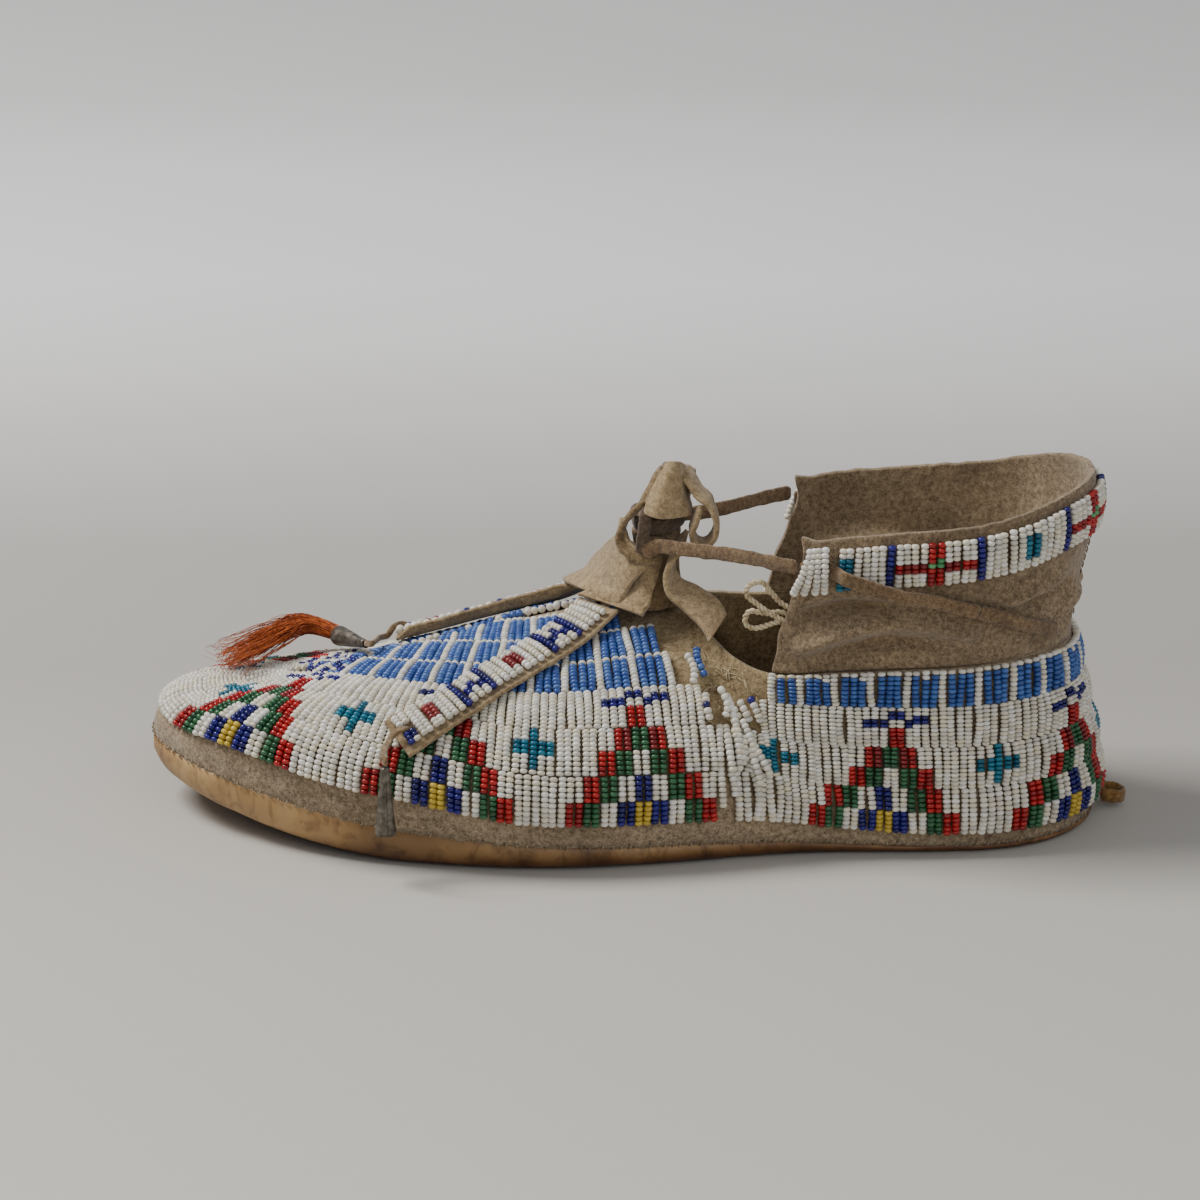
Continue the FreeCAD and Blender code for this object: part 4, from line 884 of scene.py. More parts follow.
MOTIF_I = [3.2, 6.1, 8.4, 13.2, 16.6]
CROSS_I = [1.8, 4.9, 7.1, 11.46, 15.35]
# on the heel the threads lean, so each lane's share of a motif is set further back
MOTIF_BACK = {3: (0.06, 0.37, 0.62), 4: (0.3, 0.55, 0.75)}
MOTIFS = MOTIF_I + [38 - v for v in MOTIF_I]
CROSSES = CROSS_I + [38 - v for v in CROSS_I] + [19.0]
STEP = {
    (0, 0): "YNNWWGGRR", (0, 1): "NWWGGRR",
    (1, 0): "WGGRR", (1, 1): "GRR",
    (2, 0): "R",
}


def ring_colors(k, cols):
    """colour rows for every column of ring lane k"""
    n = 10
    out = [["W"] * n for _ in cols]
    m = len(cols)
    for u, mi in enumerate(MOTIFS):
        back = MOTIF_BACK.get(u % 5, (0.0, 0.0, 0.0))[min(k, 2)]
        mi += back if u < 5 else -back
        best = min(range(m), key=lambda c: abs((cols[c] + cols[(c + 1) % m]) / 2 - mi) if abs(cols[c] - mi) < 3 else 99)
        if abs(cols[best] - mi) > 1.0:
            continue
        dark = RNG.random() < 0.5
        for c in range(m):
            q = c - best - 1 if c > best else best - c
            side = 1 if c > best else -1
            if q > 9:
                continue
            for half in (0, 1):
                st = STEP.get((k, half))
                if st and q < len(st):
                    ch = st[q]
                    for j in range(n):
                        if (j < 5) == (half == 0):
                            out[c][j] = ch
                            if ch == "R" and q == 1 and k == 1 and half == 1:
                                out[c][j] = "D"
            if k == 2:
                if 1 <= q <= 3:
                    lift = 1 if (side > 0 and q > 1) else 0
                    for j in (5 + lift, 6 + lift):
                        out[c][j] = "N"
                if q == 0:
                    for j in (7, 8):
                        out[c][j] = "N"
    if k == 1:
        for ci in CROSSES:
            best = min(range(m), key=lambda c: abs(cols[c] - ci))
            if abs(cols[best] - ci) > 0.6:
                continue
            for c in range(m):
                q = abs(c - best)
                if q == 0:
                    for j in range(1, 10):
                        out[c][j] = "T"
                elif q <= 2:
                    for j in (4, 5, 6) if q == 1 else (4, 5, 6):
                        out[c][j] = "T"
    return out


def worn(i):
    """how disturbed the beadwork is at row i (0..19)"""
    return smoothstep(9.25, 9.8, i) * (1 - smoothstep(10.85, 11.25, i))


def upright(s, i, lo, hi):
    """point and normal along one thread; towards the heel the threads stand upright"""
    lean = 0.9 * smoothstep(8.5, 10.5, i) * (1 - smoothstep(16.4, 17.8, i))
    shift = [0.0, 0.0]
    mid = (lo + hi) / 2
    if lean > 0:
        x0 = spot2(s, mid)[0][0]
        for q, a in enumerate((lo, hi)):
            xa = spot2(s, a)[0][0]
            dx = (spot2(s + 0.05, a)[0][0] - spot2(s - 0.05, a)[0][0]) / 0.1
            if abs(dx) > 1.0:
                shift[q] = max(-1.0, min(1.0, lean * (x0 - xa) / dx))

    def at(a):
        f = (a - lo) / (hi - lo)
        s2 = s + lerp(shift[0], shift[1], f)
        s2 = max(s2, 0.0)
        pr = profile_s(s2)
        t = t_of_arc(pr, a)
        return P(s2, t), normal(s2, t)
    return at


def ring_lane(k, spans, names, node):
    for (s0, s1), name, rep in zip(spans, names, node):
        def mid(s):
            lo, hi = lane_edges(s, k)
            return (lo + hi) / 2
        cols = lane_columns(s0, s1, mid, PITCH)
        colors = ring_colors(k, cols)
        beads = []
        for s, col in zip(cols, colors):
            i = s % 38
            i = i if i <= 19 else 38 - i
            w = worn(i)
            if w and k < 2 and RNG.random() < 0.03 * w:
                continue
            if w and k == 2:
                if RNG.random() < 0.55 * w:
                    continue
            lo, hi = lane_edges(s, k)
            heel = smoothstep(11.5, 13.0, i)
            hump = 0.36 + 0.6 * heel
            at = upright(s, i, lo, hi)
            b = bead_column(at, lo - 0.1, hi + 0.1, col, hump=hump, wild=0.75 * w, bow=0.14 + 0.08 * heel, jit=0.1, tilt=0.2)
            if w and RNG.random() < 0.25 * w:
                cut = RNG.randint(4, 8)
                b = b[:cut] if RNG.random() < 0.5 else b[-cut:]
            beads += b
        bead_piece(name, beads, "shoe", rep)


ring_lane(0, [(0, 19), (19, 38)], ["lane_1_beads_lateral", "lane_1_beads_medial"], [("bead_lane_1",), ()])
ring_lane(1, [(0, 19), (19, 38)], ["lane_2_beads_lateral", "lane_2_beads_medial"], [("bead_lane_2",), ()])
ring_lane(2, [(0.0, 9.5), (28.5, 38.0), (11.5, 26.5)], ["lane_3_beads_lateral", "lane_3_beads_medial", "lane_3_beads_heel"], [("bead_lane_3_vamp",), (), ("bead_lane_3_heel",)])


def heel_blue_lane():
    k = 3
    s0, s1 = FLEX_BACK + 0.15, 38 - FLEX_BACK - 0.15
    cols = lane_columns(s0, s1, lambda s: sum(lane_edges(s, k)) / 2, PITCH * 1.04)
    beads = []
    m = len(cols)
    for c, s in enumerate(cols):
        i = s % 38
        i = i if i <= 19 else 38 - i
        q = min(c, m - 1 - c)
        lo, hi = lane_edges(s, k)
        n = 8
        white = (q % 4 == 3) or q == 0
        col = ["W"] * n if white else ["b"] * (n - 1) + ["W"]
        if not white and RNG.random() < 0.2:
            col[-2] = "W"
        at = upright(s, i, lo, hi)
        b = bead_column(at, lo - 0.1, hi + 0.4, col, hump=0.7, tilt=0.4, bow=0.35, jit=0.12)
        beads += b
    bead_piece("lane_4_beads_heel", beads, "shoe", ("bead_lane_4_heel",))


heel_blue_lane()


# ---------------------------------------------------------------------------
# lanes along the vamp: three blue columns, one white, all the way
# ---------------------------------------------------------------------------
def vamp_beads(side, k, end, cols, rep):
    beads = []
    for c, i in enumerate(cols):
        if i > end + 0.02:
            continue
        s = station(side, i)
        mg = REV["mg"](s)
        lo = mg + REV["b3"](s) + k * BLUE_LANE + LANE_GAP / 2
        L = profile_s(s)[1][-1]
        hi = min(lo + BLUE_LANE - LANE_GAP, L - 0.9)
        n = int(round((hi - lo) / 1.24))
        if n < 1:
            continue
        full = n >= 8
        white = c % 4 == 0
        if white:
            col = ["W"] * n
        else:
            col = ["B"] * n
            if full:
                col[-1] = "W"
        if k == 0 and c > len(cols) - 6 and not white:
            col = ["N" if RNG.random() < 0.5 else ("B" if RNG.random() < 0.5 else "W") for _ in col]
        if k == 0 and n <= 3 and not white:
            col = ["N" if RNG.random() < 0.35 else "B" for _ in col]
        pr = profile_s(s)
        at = lambda a, s=s, pr=pr: (P(s, t_of_arc(pr, a)), normal(s, t_of_arc(pr, a)))
        beads += bead_column(at, lo - 0.05, hi + 0.08, col, hump=0.4 if n > 4 else 0.12, jit=0.08, tilt=0.22, bow=0.12)
    if beads:
        bead_piece("vamp_lane_%d_beads_%s" % (k + 1, "lateral" if side < 0 else "medial"), beads, "shoe", rep)


for side, word in ((-1, "lateral"), (1, "medial")):
    def mid1(s):
        return REV["mg"](s) + REV["b3"](s) + 5.0
    st = lane_columns(station(side, 9.02), station(side, 2.05), mid1, 2.16)
    rows_i = [s if side < 0 else 38 - s for s in st]
    ends = (9.0, 8.8, 8.3)
    for k in range(3):
        node = "vamp_lane_%d_%s" % (k + 1, word)
        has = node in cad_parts
        vamp_beads(side, k, ends[k], rows_i, (node,) if has else ())


# ---------------------------------------------------------------------------
# soft sheets and thongs from lines of points
# ---------------------------------------------------------------------------
def cr(p, k, t):
    n = len(p)
    a, b, c, d = p[max(k - 1, 0)], p[k], p[min(k + 1, n - 1)], p[min(k + 2, n - 1)]
    if k == 0:
        a = tuple(2 * x - y for x, y in zip(b, c))
    if k + 2 > n - 1:
        d = tuple(2 * y - x for x, y in zip(b, c))
    return tuple(0.5 * (2 * q + (r - p_) * t + (2 * p_ - 5 * q + 4 * r - s) * t * t + (3 * q - p_ - 3 * r + s) * t ** 3) for p_, q, r, s in zip(a, b, c, d))


def smooth_line(pts, n):
    m = len(pts) - 1
    out = []
    for j in range(n + 1):
        x = j / n * m
        k = min(int(x), m - 1)
        out.append(cr(pts, k, x - k))
    return out


def even_line(pts, n):
    fine = smooth_line(pts, max(n * 6, 60))
    cum = [0.0]
    for a, b in zip(fine, fine[1:]):
        cum.append(cum[-1] + math.dist(a, b))
    out, k = [], 0
    for j in range(n + 1):
        d = cum[-1] * j / n
        while k < len(cum) - 2 and cum[k + 1] < d:
            k += 1
        f = (d - cum[k]) / max(cum[k + 1] - cum[k], 1e-9)
        out.append(tuple(a + f * (b - a) for a, b in zip(fine[k], fine[k + 1])))
    return out


def grid_of(rows, nu, nv):
    rs = [smooth_line(r, nv) for r in rows]
    cols = [smooth_line([r[j] for r in rs], nu) for j in range(nv + 1)]
    return [[cols[j][i] for j in range(nv + 1)] for i in range(nu + 1)]


def shell(name, g, thick, mats, body="shoe", replaces=(), disp=None, closed_u=False, closed_v=False, side=0.0, edge_wave=0.0):
    """closed solid sheet from a grid of points; side -1 puts the thickness below, +1 above, 0 both ways"""
    nu, nv = len(g), len(g[0])

    def nrm(i, j):
        i0, i1 = (i - 1) % nu if closed_u else max(i - 1, 0), (i + 1) % nu if closed_u else min(i + 1, nu - 1)
        j0, j1 = (j - 1) % nv if closed_v else max(j - 1, 0), (j + 1) % nv if closed_v else min(j + 1, nv - 1)
        a, b = sub(g[i1][j], g[i0][j]), sub(g[i][j1], g[i][j0])
        c = cross(a, b)
        l = math.sqrt(dot(c, c))
        return tuple(x / l for x in c) if l > 1e-9 else (0.0, 0.0, 1.0)

    N = [[nrm(i, j) for j in range(nv)] for i in range(nu)]
    top, bot = [], []
    for i in range(nu):
        for j in range(nv):
            p, n = g[i][j], N[i][j]
            d = disp(i / (nu - 1), j / (nv - 1), p) if disp else 0.0
            e = 1.0
            if not closed_u and (i == 0 or i == nu - 1):
                e = 0.72
            if not closed_v and (j == 0 or j == nv - 1):
                e = min(e, 0.72)
            mid = add(p, n, d + side * thick / 2)
            top.append(add(mid, n, e * thick / 2))
            bot.append(add(mid, n, -e * thick / 2))
    verts = top + bot
    o = nu * nv
    faces = []
    I = range(nu if closed_u else nu - 1)
    J = range(nv if closed_v else nv - 1)
    for i in I:
        for j in J:
            i2, j2 = (i + 1) % nu, (j + 1) % nv
            a, b, c, d = i * nv + j, i2 * nv + j, i2 * nv + j2, i * nv + j2
            faces.append((a, b, c, d))
            faces.append((o + d, o + c, o + b, o + a))
    if not closed_v:
        for i in I:
            i2 = (i + 1) % nu
            a, b = i * nv, i2 * nv
            faces.append((a, o + a, o + b, b))
            a, b = i * nv + nv - 1, i2 * nv + nv - 1
            faces.append((b, o + b, o + a, a))
    if not closed_u:
        for j in J:
            j2 = (j + 1) % nv
            faces.append((j2, o + j2, o + j, j))
            a, b = (nu - 1) * nv + j, (nu - 1) * nv + j2
            faces.append((a, o + a, o + b, b))
    return mesh_piece(name, verts, faces, mats, body, replaces, recalc=True)


def strap(name, path, dirs, w, th, mat, body="shoe", replaces=(), n=60, wob=0.12, seed=0.0, taper=None, closed=False, side_steps=12):
    """flat thong along a path; dirs are width directions at the path's points"""
    line = even_line(path, n) if not closed else even_line(list(path) + [path[0]], n)[:-1]
    if not isinstance(dirs, list):
        dirs = [dirs] * len(path)
    if closed:
        dirs = dirs + [dirs[0]]
    dl = smooth_line(dirs, n)
    m = len(line)
    prof = []
    for k in range(side_steps):
        a = 2 * math.pi * k / side_steps
        cx, cy = math.cos(a), math.sin(a)
        prof.append((math.copysign(abs(cx) ** 0.45, cx) * 0.5, math.copysign(abs(cy) ** 0.75, cy) * 0.5))
    verts, faces = [], []
    for k in range(m):
        a = line[(k - 1) % m] if closed else line[max(k - 1, 0)]
        b = line[(k + 1) % m] if closed else line[min(k + 1, m - 1)]
        t = unit(sub(b, a))
        u = dl[k]
        u = unit(add(u, t, -dot(u, t)))
        v = cross(t, u)
        f = k / max(m - 1, 1)
        ww = w * (taper(f) if taper else 1.0) * (1 + wob * nz(k * 0.23, 0, 0, 1.0, seed))
        tt = th * (1 + 0.8 * wob * nz(k * 0.19, 5, 0, 1.0, seed))
        c = add(line[k], v, wob * 0.9 * nz(k * 0.15, 9, 1, 1.0, seed))
        c = add(c, u, wob * 0.9 * nz(k * 0.12, 2, 7, 1.0, seed))
        e = 1.0
        if not closed and k in (0, m - 1):
            e = 0.7
        for pu, pv in prof:
            r = 1 + 0.05 * nz(k * 0.7, pu * 5, pv * 5, 1.0, seed)
            verts.append(add(add(c, u, pu * ww * r * e), v, pv * tt * r * e))
    q = side_steps
    for k in range(m if closed else m - 1):
        k2 = (k + 1) % m
        for j in range(q):
            j2 = (j + 1) % q
            faces.append((k * q + j, k * q + j2, k2 * q + j2, k2 * q + j))
    if not closed:
        faces.append(tuple(range(q))[::-1])
        faces.append(tuple((m - 1) * q + j for j in range(q)))
    return mesh_piece(name, verts, faces, [mat], body, replaces, recalc=True)


def tubes(name, lines, radii, mats, body, replaces=(), sides=5, idx=None):
    """many thin round lines in one mesh"""
    verts, faces, mi = [], [], []
    for li, (ln, r) in enumerate(zip(lines, radii)):
        m = len(ln)
        base = len(verts)
        t = unit(sub(ln[1], ln[0]))
        u = unit(cross(t, (0.31, 0.55, 0.77)))
        for k in range(m):
            a, b = ln[max(k - 1, 0)], ln[min(k + 1, m - 1)]
            t = unit(sub(b, a))
            u = unit(add(u, t, -dot(u, t)))
            v = cross(t, u)
            rr = r * (1.0 if not isinstance(r, (list, tuple)) else 1.0) if not callable(r) else r(k / (m - 1))
            for q in range(sides):
                an = 2 * math.pi * q / sides
                verts.append(add(add(ln[k], u, math.cos(an) * rr), v, math.sin(an) * rr))
        for k in range(m - 1):
            for q in range(sides):
                q2 = (q + 1) % sides
                faces.append((base + k * sides + q, base + k * sides + q2, base + (k + 1) * sides + q2, base + (k + 1) * sides + q))
        faces.append(tuple(base + q for q in range(sides))[::-1])
        faces.append(tuple(base + (m - 1) * sides + q for q in range(sides)))
        mi += [0 if idx is None else idx[li]] * ((m - 1) * sides + 2)
    return mesh_piece(name, verts, faces, mats, body, replaces, idx=mi)


# ---------------------------------------------------------------------------
# cuff: a soft hide band with folds, sewn inside the top lane
# ---------------------------------------------------------------------------
FOLDS = [
    # (row, height) to (row, height): ridge or hollow, width in mm, depth in mm
    ((12.3, 0.16), (12.9, 0.26), (13.8, 0.36), 2.8, 1.5),
    ((13.8, 0.36), (14.5, 0.30), (15.2, 0.20), 2.6, 1.2),
    ((12.2, 0.44), (13.1, 0.47), (14.0, 0.44), 2.8, -1.7),
    ((12.9, 0.12), (13.8, 0.20), (14.6, 0.14), 2.4, -1.3),
    ((15.3, 0.36), (16.1, 0.46), (17.3, 0.51), 2.8, 1.2),
    ((15.9, 0.30), (16.8, 0.36), (17.8, 0.38), 2.6, -1.1),
    ((17.0, 0.16), (17.8, 0.26), (18.7, 0.30), 3.0, 0.9),
    ((16.3, 0.10), (17.2, 0.08), (18.4, 0.14), 2.4, -0.8),
]
LACE_LINE = [(12.0, 0.83), (12.86, 0.77), (13.5, 0.665), (14.25, 0.54), (15.15, 0.396), (15.6, 0.32), (16.1, 0.235), (16.6, 0.17), (17.06, 0.125)]


def seg_far(px, py, ax, ay, bx, by):
    vx, vy = bx - ax, by - ay
    f = ((px - ax) * vx + (py - ay) * vy) / max(vx * vx + vy * vy, 1e-9)
    g = min(max(f, 0.0), 1.0)
    return math.hypot(px - ax - g * vx, py - ay - g * vy), f


def lace_far(i, t, L):
    return min(seg_far(i * 13.0, t * L, a[0] * 13.0, a[1] * L, b[0] * 13.0, b[1] * L)[0] for a, b in zip(LACE_LINE, LACE_LINE[1:]))


def fold_off(side, i, t, L):
    d = 0.0
    for p0, p1, p2, w, h in FOLDS:
        if side > 0:
            p0, p1, p2 = ((q[0] + 0.35, q[1] * 0.93 + 0.02) for q in (p0, p1, p2))
        best = None
        for n, (a, b) in enumerate(((p0, p1), (p1, p2))):
            far, f = seg_far(i * 13.0, t * L, a[0] * 13.0, a[1] * L, b[0] * 13.0, b[1] * L)
            u = (n + min(max(f, 0.0), 1.0)) / 2
            if best is None or far < best[0]:
                best = (far, u)
        far, u = best
        env = math.sin(math.pi * min(max(u, 0.0), 1.0)) ** 0.6 if 0 < u < 1 else 0.0
        d += h * env * math.exp(-(far * far) / (0.7 * w * w))
    return d


def cuff_shape(side, i, t, layer):
    L = cuff_length(side, i)
    p, n = cuff_pn(side, i, t)
    tb = 1 - (MARGIN_TOP + BAND_H) / L
    free = smoothstep(0.0, 0.08, t) * (1 - smoothstep(tb - 0.08, tb + 0.01, t))
    flat = smoothstep(2.0, 4.6, lace_far(i, t, L))
    o = free * (2.9 * flat * fold_off(side, i, t, L) + (0.25 + 0.75 * flat) * (0.9 * nz(p[0], p[1] * 0.5, p[2], 0.06, 2.0) + 0.42 * nz(p[0] * 0.6, p[1], p[2] * 1.6, 0.16, 3.0) + 0.1 * nz(*p, 0.45, 3.0)))
    top = smoothstep(1 - 2.4 / L, 1.0, t)
    o += top * (0.5 * nz(p[0], p[1], 0, 0.09, 7.0) + 0.25 * nz(p[0], p[1], 0, 0.3, 8.0))
    z = top * (0.5 * nz(p[0], p[1], 1, 0.07, 11.0) + 0.25 * nz(p[0], p[1], 1, 0.35, 12.0))
    p = add(p, n, o - (CUFF_HIDE if layer else 0.0))
    return (p[0], p[1], p[2] + z)


def cuff_half(side, word, reps):
    NI_, NT = 150, 46
    verts, faces, idx = [], [], []
    rows_i = [12.0 + 7.0 * k / NI_ for k in range(NI_ + 1)]
    w = NT + 1
    for layer in (0, 1):
        for i in rows_i:
            for r in range(w):
                t = r / NT
                p = cuff_shape(side, i, t, layer)
                if i < 12.35 and t > 0.9:
                    # the small ear turned down at the front corner
                    k = smoothstep(12.35, 12.0, i) * smoothstep(0.9, 1.0, t)
                    p = (p[0] - 1.2 * k, p[1] - side * 1.0 * k, p[2] + 1.2 * k)
                if i < 12.3:
                    k = 1 - (i - 12.0) / 0.3
                    p = (p[0] - 0.9 * k * nz(p[2], 0, 0, 0.15, 4.0), p[1], p[2])
                if layer == 1 and (r in (0, NT) or i == rows_i[0]):
                    pass
                verts.append(p)
    o = (NI_ + 1) * w
    for k in range(NI_):
        for r in range(NT):
            a, b, c, d = k * w + r, (k + 1) * w + r, (k + 1) * w + r + 1, k * w + r + 1
            faces.append((a, b, c, d))
            faces.append((o + d, o + c, o + b, o + a))
            idx += [0, 1]
        for r in (0, NT):
            a, b = k * w + r, (k + 1) * w + r
            faces.append((a, o + a, o + b, b))
            idx.append(0)
    for r in range(NT):
        for k in (0, NI_):
            a, d = k * w + r, k * w + r + 1
            faces.append((a, d, o + d, o + a))
            idx.append(0)
    ob = mesh_piece("cuff_hide_" + word, verts, faces, [CUFF_MAT, INSIDE], None, reps, idx=idx, recalc=True)
    bv = ob.modifiers.new("edge", "BEVEL")
    bv.width = 0.0005
    bv.segments = 2
    bv.limit_method = "ANGLE"
    bv.angle_limit = math.radians(50)
    apply_mods(ob)
    return ob


def apply_mods(ob):
    dg = bpy.context.evaluated_depsgraph_get()
    me = bpy.data.meshes.new_from_object(ob.evaluated_get(dg))
    ob.modifiers.clear()
    old = ob.data
    ob.data = me
    bpy.data.meshes.remove(old)
    me.polygons.foreach_set("use_smooth", [True] * len(me.polygons))


WING = {-1: "lateral_wing", 1: "medial_wing"}


def wing_blend(ob):
    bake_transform(ob)


CUFF_OBS = {}
for side, word, reps in ((-1, "lateral", ("cuff_wing_lateral", "cuff_back")), (1, "medial", ("cuff_wing_medial",))):
    CUFF_OBS[side] = cuff_half(side, word, reps)
    wing_blend(CUFF_OBS[side])
    ln = [cuff_pn(side, 12.0 + 7.0 * q / 60, 0.5)[0] for q in range(61)]
    wide = sum(math.dist(a, b) for a, b in zip(ln, ln[1:]))
    tall = sum(cuff_length(side, 12.0 + 7.0 * q / 20) for q in range(21)) / 21
    print("cuff", word, "flat", round(wide, 1), "x", round(tall, 1), "mm")


def band_columns(side, i0, i1, pitch):
    ss = [i0 + (i1 - i0) * k / 200 for k in range(201)]
    pts = [cuff_pn(side, i, 0.82)[0] for i in ss]
    cum = [0.0]
    for a, b in zip(pts, pts[1:]):
        cum.append(cum[-1] + math.dist(a, b))
    m = round(cum[-1] / pitch)
    out, k = [], 0
    for c in range(m):
        d = (c + 0.5) * cum[-1] / m
        while cum[k + 1] < d:
            k += 1
        out.append(ss[k] + (ss[k + 1] - ss[k]) * (d - cum[k]) / (cum[k + 1] - cum[k]))
    return out


BAND_SEQ = "TTWWWWNrrrrRRrrrrNWWWWWTTWWWWNrrrrRRrrrrNWWWWWTTWWWW"


def cuff_band(side, word, reps):
    cols = band_columns(side, 12.86, 18.97, 2.0)
    beads = []
    for c, i in enumerate(cols):
        L = cuff_length(side, i)
        t0, t1 = 1 - (MARGIN_TOP + BAND_H) / L, 1 - MARGIN_TOP / L
        n = 9
        ch = BAND_SEQ[c] if c < len(BAND_SEQ) else "W"
        col = ["W"] * n
        if ch == "N":
            col = ["N"] * n
        elif ch == "r":
            col[3] = "R" if RNG.random() < 0.5 else "D"
            col[4] = "D" if RNG.random() < 0.4 else "R"
        elif ch == "R":
            col = ["R"] * n
            col[4] = "L"
            if RNG.random() < 0.5:
                col[5] = "L"
        elif ch == "T":
            for j in range(2, 7):
                col[j] = "T"
            if c < 2:
                for j in range(0, 6):
                    col[j] = "T"
        at = lambda a, i=i, L=L: cuff_pn(side, i, a / L)
        beads += bead_column(at, t0 * L + 0.1, t1 * L - 0.1, col, hump=0.5, r=BEAD_R * 0.98, jit=0.1, tilt=0.3, bow=0.15)
    ob = bead_piece("cuff_band_beads_" + word, beads, None, reps)
    wing_blend(ob)
    # four loose strings over the lace at the front
    beads = []
    for k, i in enumerate((12.1, 12.27, 12.44, 12.61)):
        n = 10
        lean = (0.05, 0.02, -0.02, -0.03)[k]
        pts, nr = [], []
        for j in range(n):
            v = (j + 0.5) / n
            t = 0.62 + 0.34 * v
            ii = i + lean * (v - 0.5) * 4 + RNG.uniform(-0.01, 0.01)
            p, q = cuff_pn(side, max(ii, 12.0), t)
            pts.append(add(p, q, 1.2 + 2.3 * math.sin(math.pi * v) ** 0.7))
            nr.append(q)
        beads += string_beads(pts, nr, ["W"] * n, BEAD_R * 0.97)
    ob = bead_piece("bead_loops_" + word, beads, WING[side], ())
    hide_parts("bead_loops_" + word)


cuff_band(-1, "lateral", ("cuff_band_lateral", "cuff_band_back"))
cuff_band(1, "medial", ("cuff_band_medial",))


# ---------------------------------------------------------------------------
# the tongue's two forks: beaded strips laid forward
# ---------------------------------------------------------------------------
FORKS = {
    -1: [(5.62, 13.4), (6.12, 24.8), (6.68, 38.4), (7.35, 52.0), (8.10, 64.0)],
    1: [(4.78, 9.6), (5.50, 9.4), (6.30, 9.2), (7.15, 9.0), (7.90, 9.0)],
}


def fork_centre(side, u):
    tab = FORKS[side]
    x = min(max(u, 0.0), 1.0) * 4
    k = min(int(x), 3)
    f = x - k

    def val(c):
        v = [r[c] for r in tab]
        m0 = v[k + 1] - v[k] if k == 0 else 0.5 * (v[k + 1] - v[k - 1])
        m1 = v[k + 1] - v[k] if k == 3 else 0.5 * (v[k + 2] - v[k])
        f2, f3 = f * f, f * f * f
        return (2*f3-3*f2+1)*v[k] + (f3-2*f2+f)*m0 + (-2*f3+3*f2)*v[k+1] + (f3-f2)*m1
    i, a = val(0), val(1)
    s = station(side, i)
    if side > 0:
        a = length_s(s) - a
    else:
        a = a + REV["mg"](s)
    pr = profile_s(s)
    t = t_of_arc(pr, a)
    rise = 2.2 * max(0.0, (u - 0.72) / 0.28) ** 2
    n = normal(s, t)
    return add(P(s, t), n, rise), n


_FF = {}


def fork_frame(side, u):
    key = (side, round(u, 5))
    if key in _FF:
        return _FF[key]
    p, n = fork_centre(side, u)
    a, _ = fork_centre(side, max(u - 0.02, 0.0))
    b, _ = fork_centre(side, min(u + 0.02, 1.0))
    t = unit(sub(b, a))
    w = cross(n, t)
    if w[2] < 0 and side < 0:
        w = tuple(-x for x in w)
    if side > 0 and w[1] > 0:
        w = tuple(-x for x in w)
    w = unit(w)
    m = cross(t, w)
    if dot(m, n) < 0:
        m = tuple(-x for x in m)
    _FF[key] = (p, t, w, unit(m))
    return _FF[key]


FORK_SEQ = "nnWWFFWWWNpqpNWWWFFWWWNpqpNWWWWW"


def fork_blend(ob, side):
    a, b = fork_frame(side, 1.0), fork_frame(side, 0.86)
    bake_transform(ob)


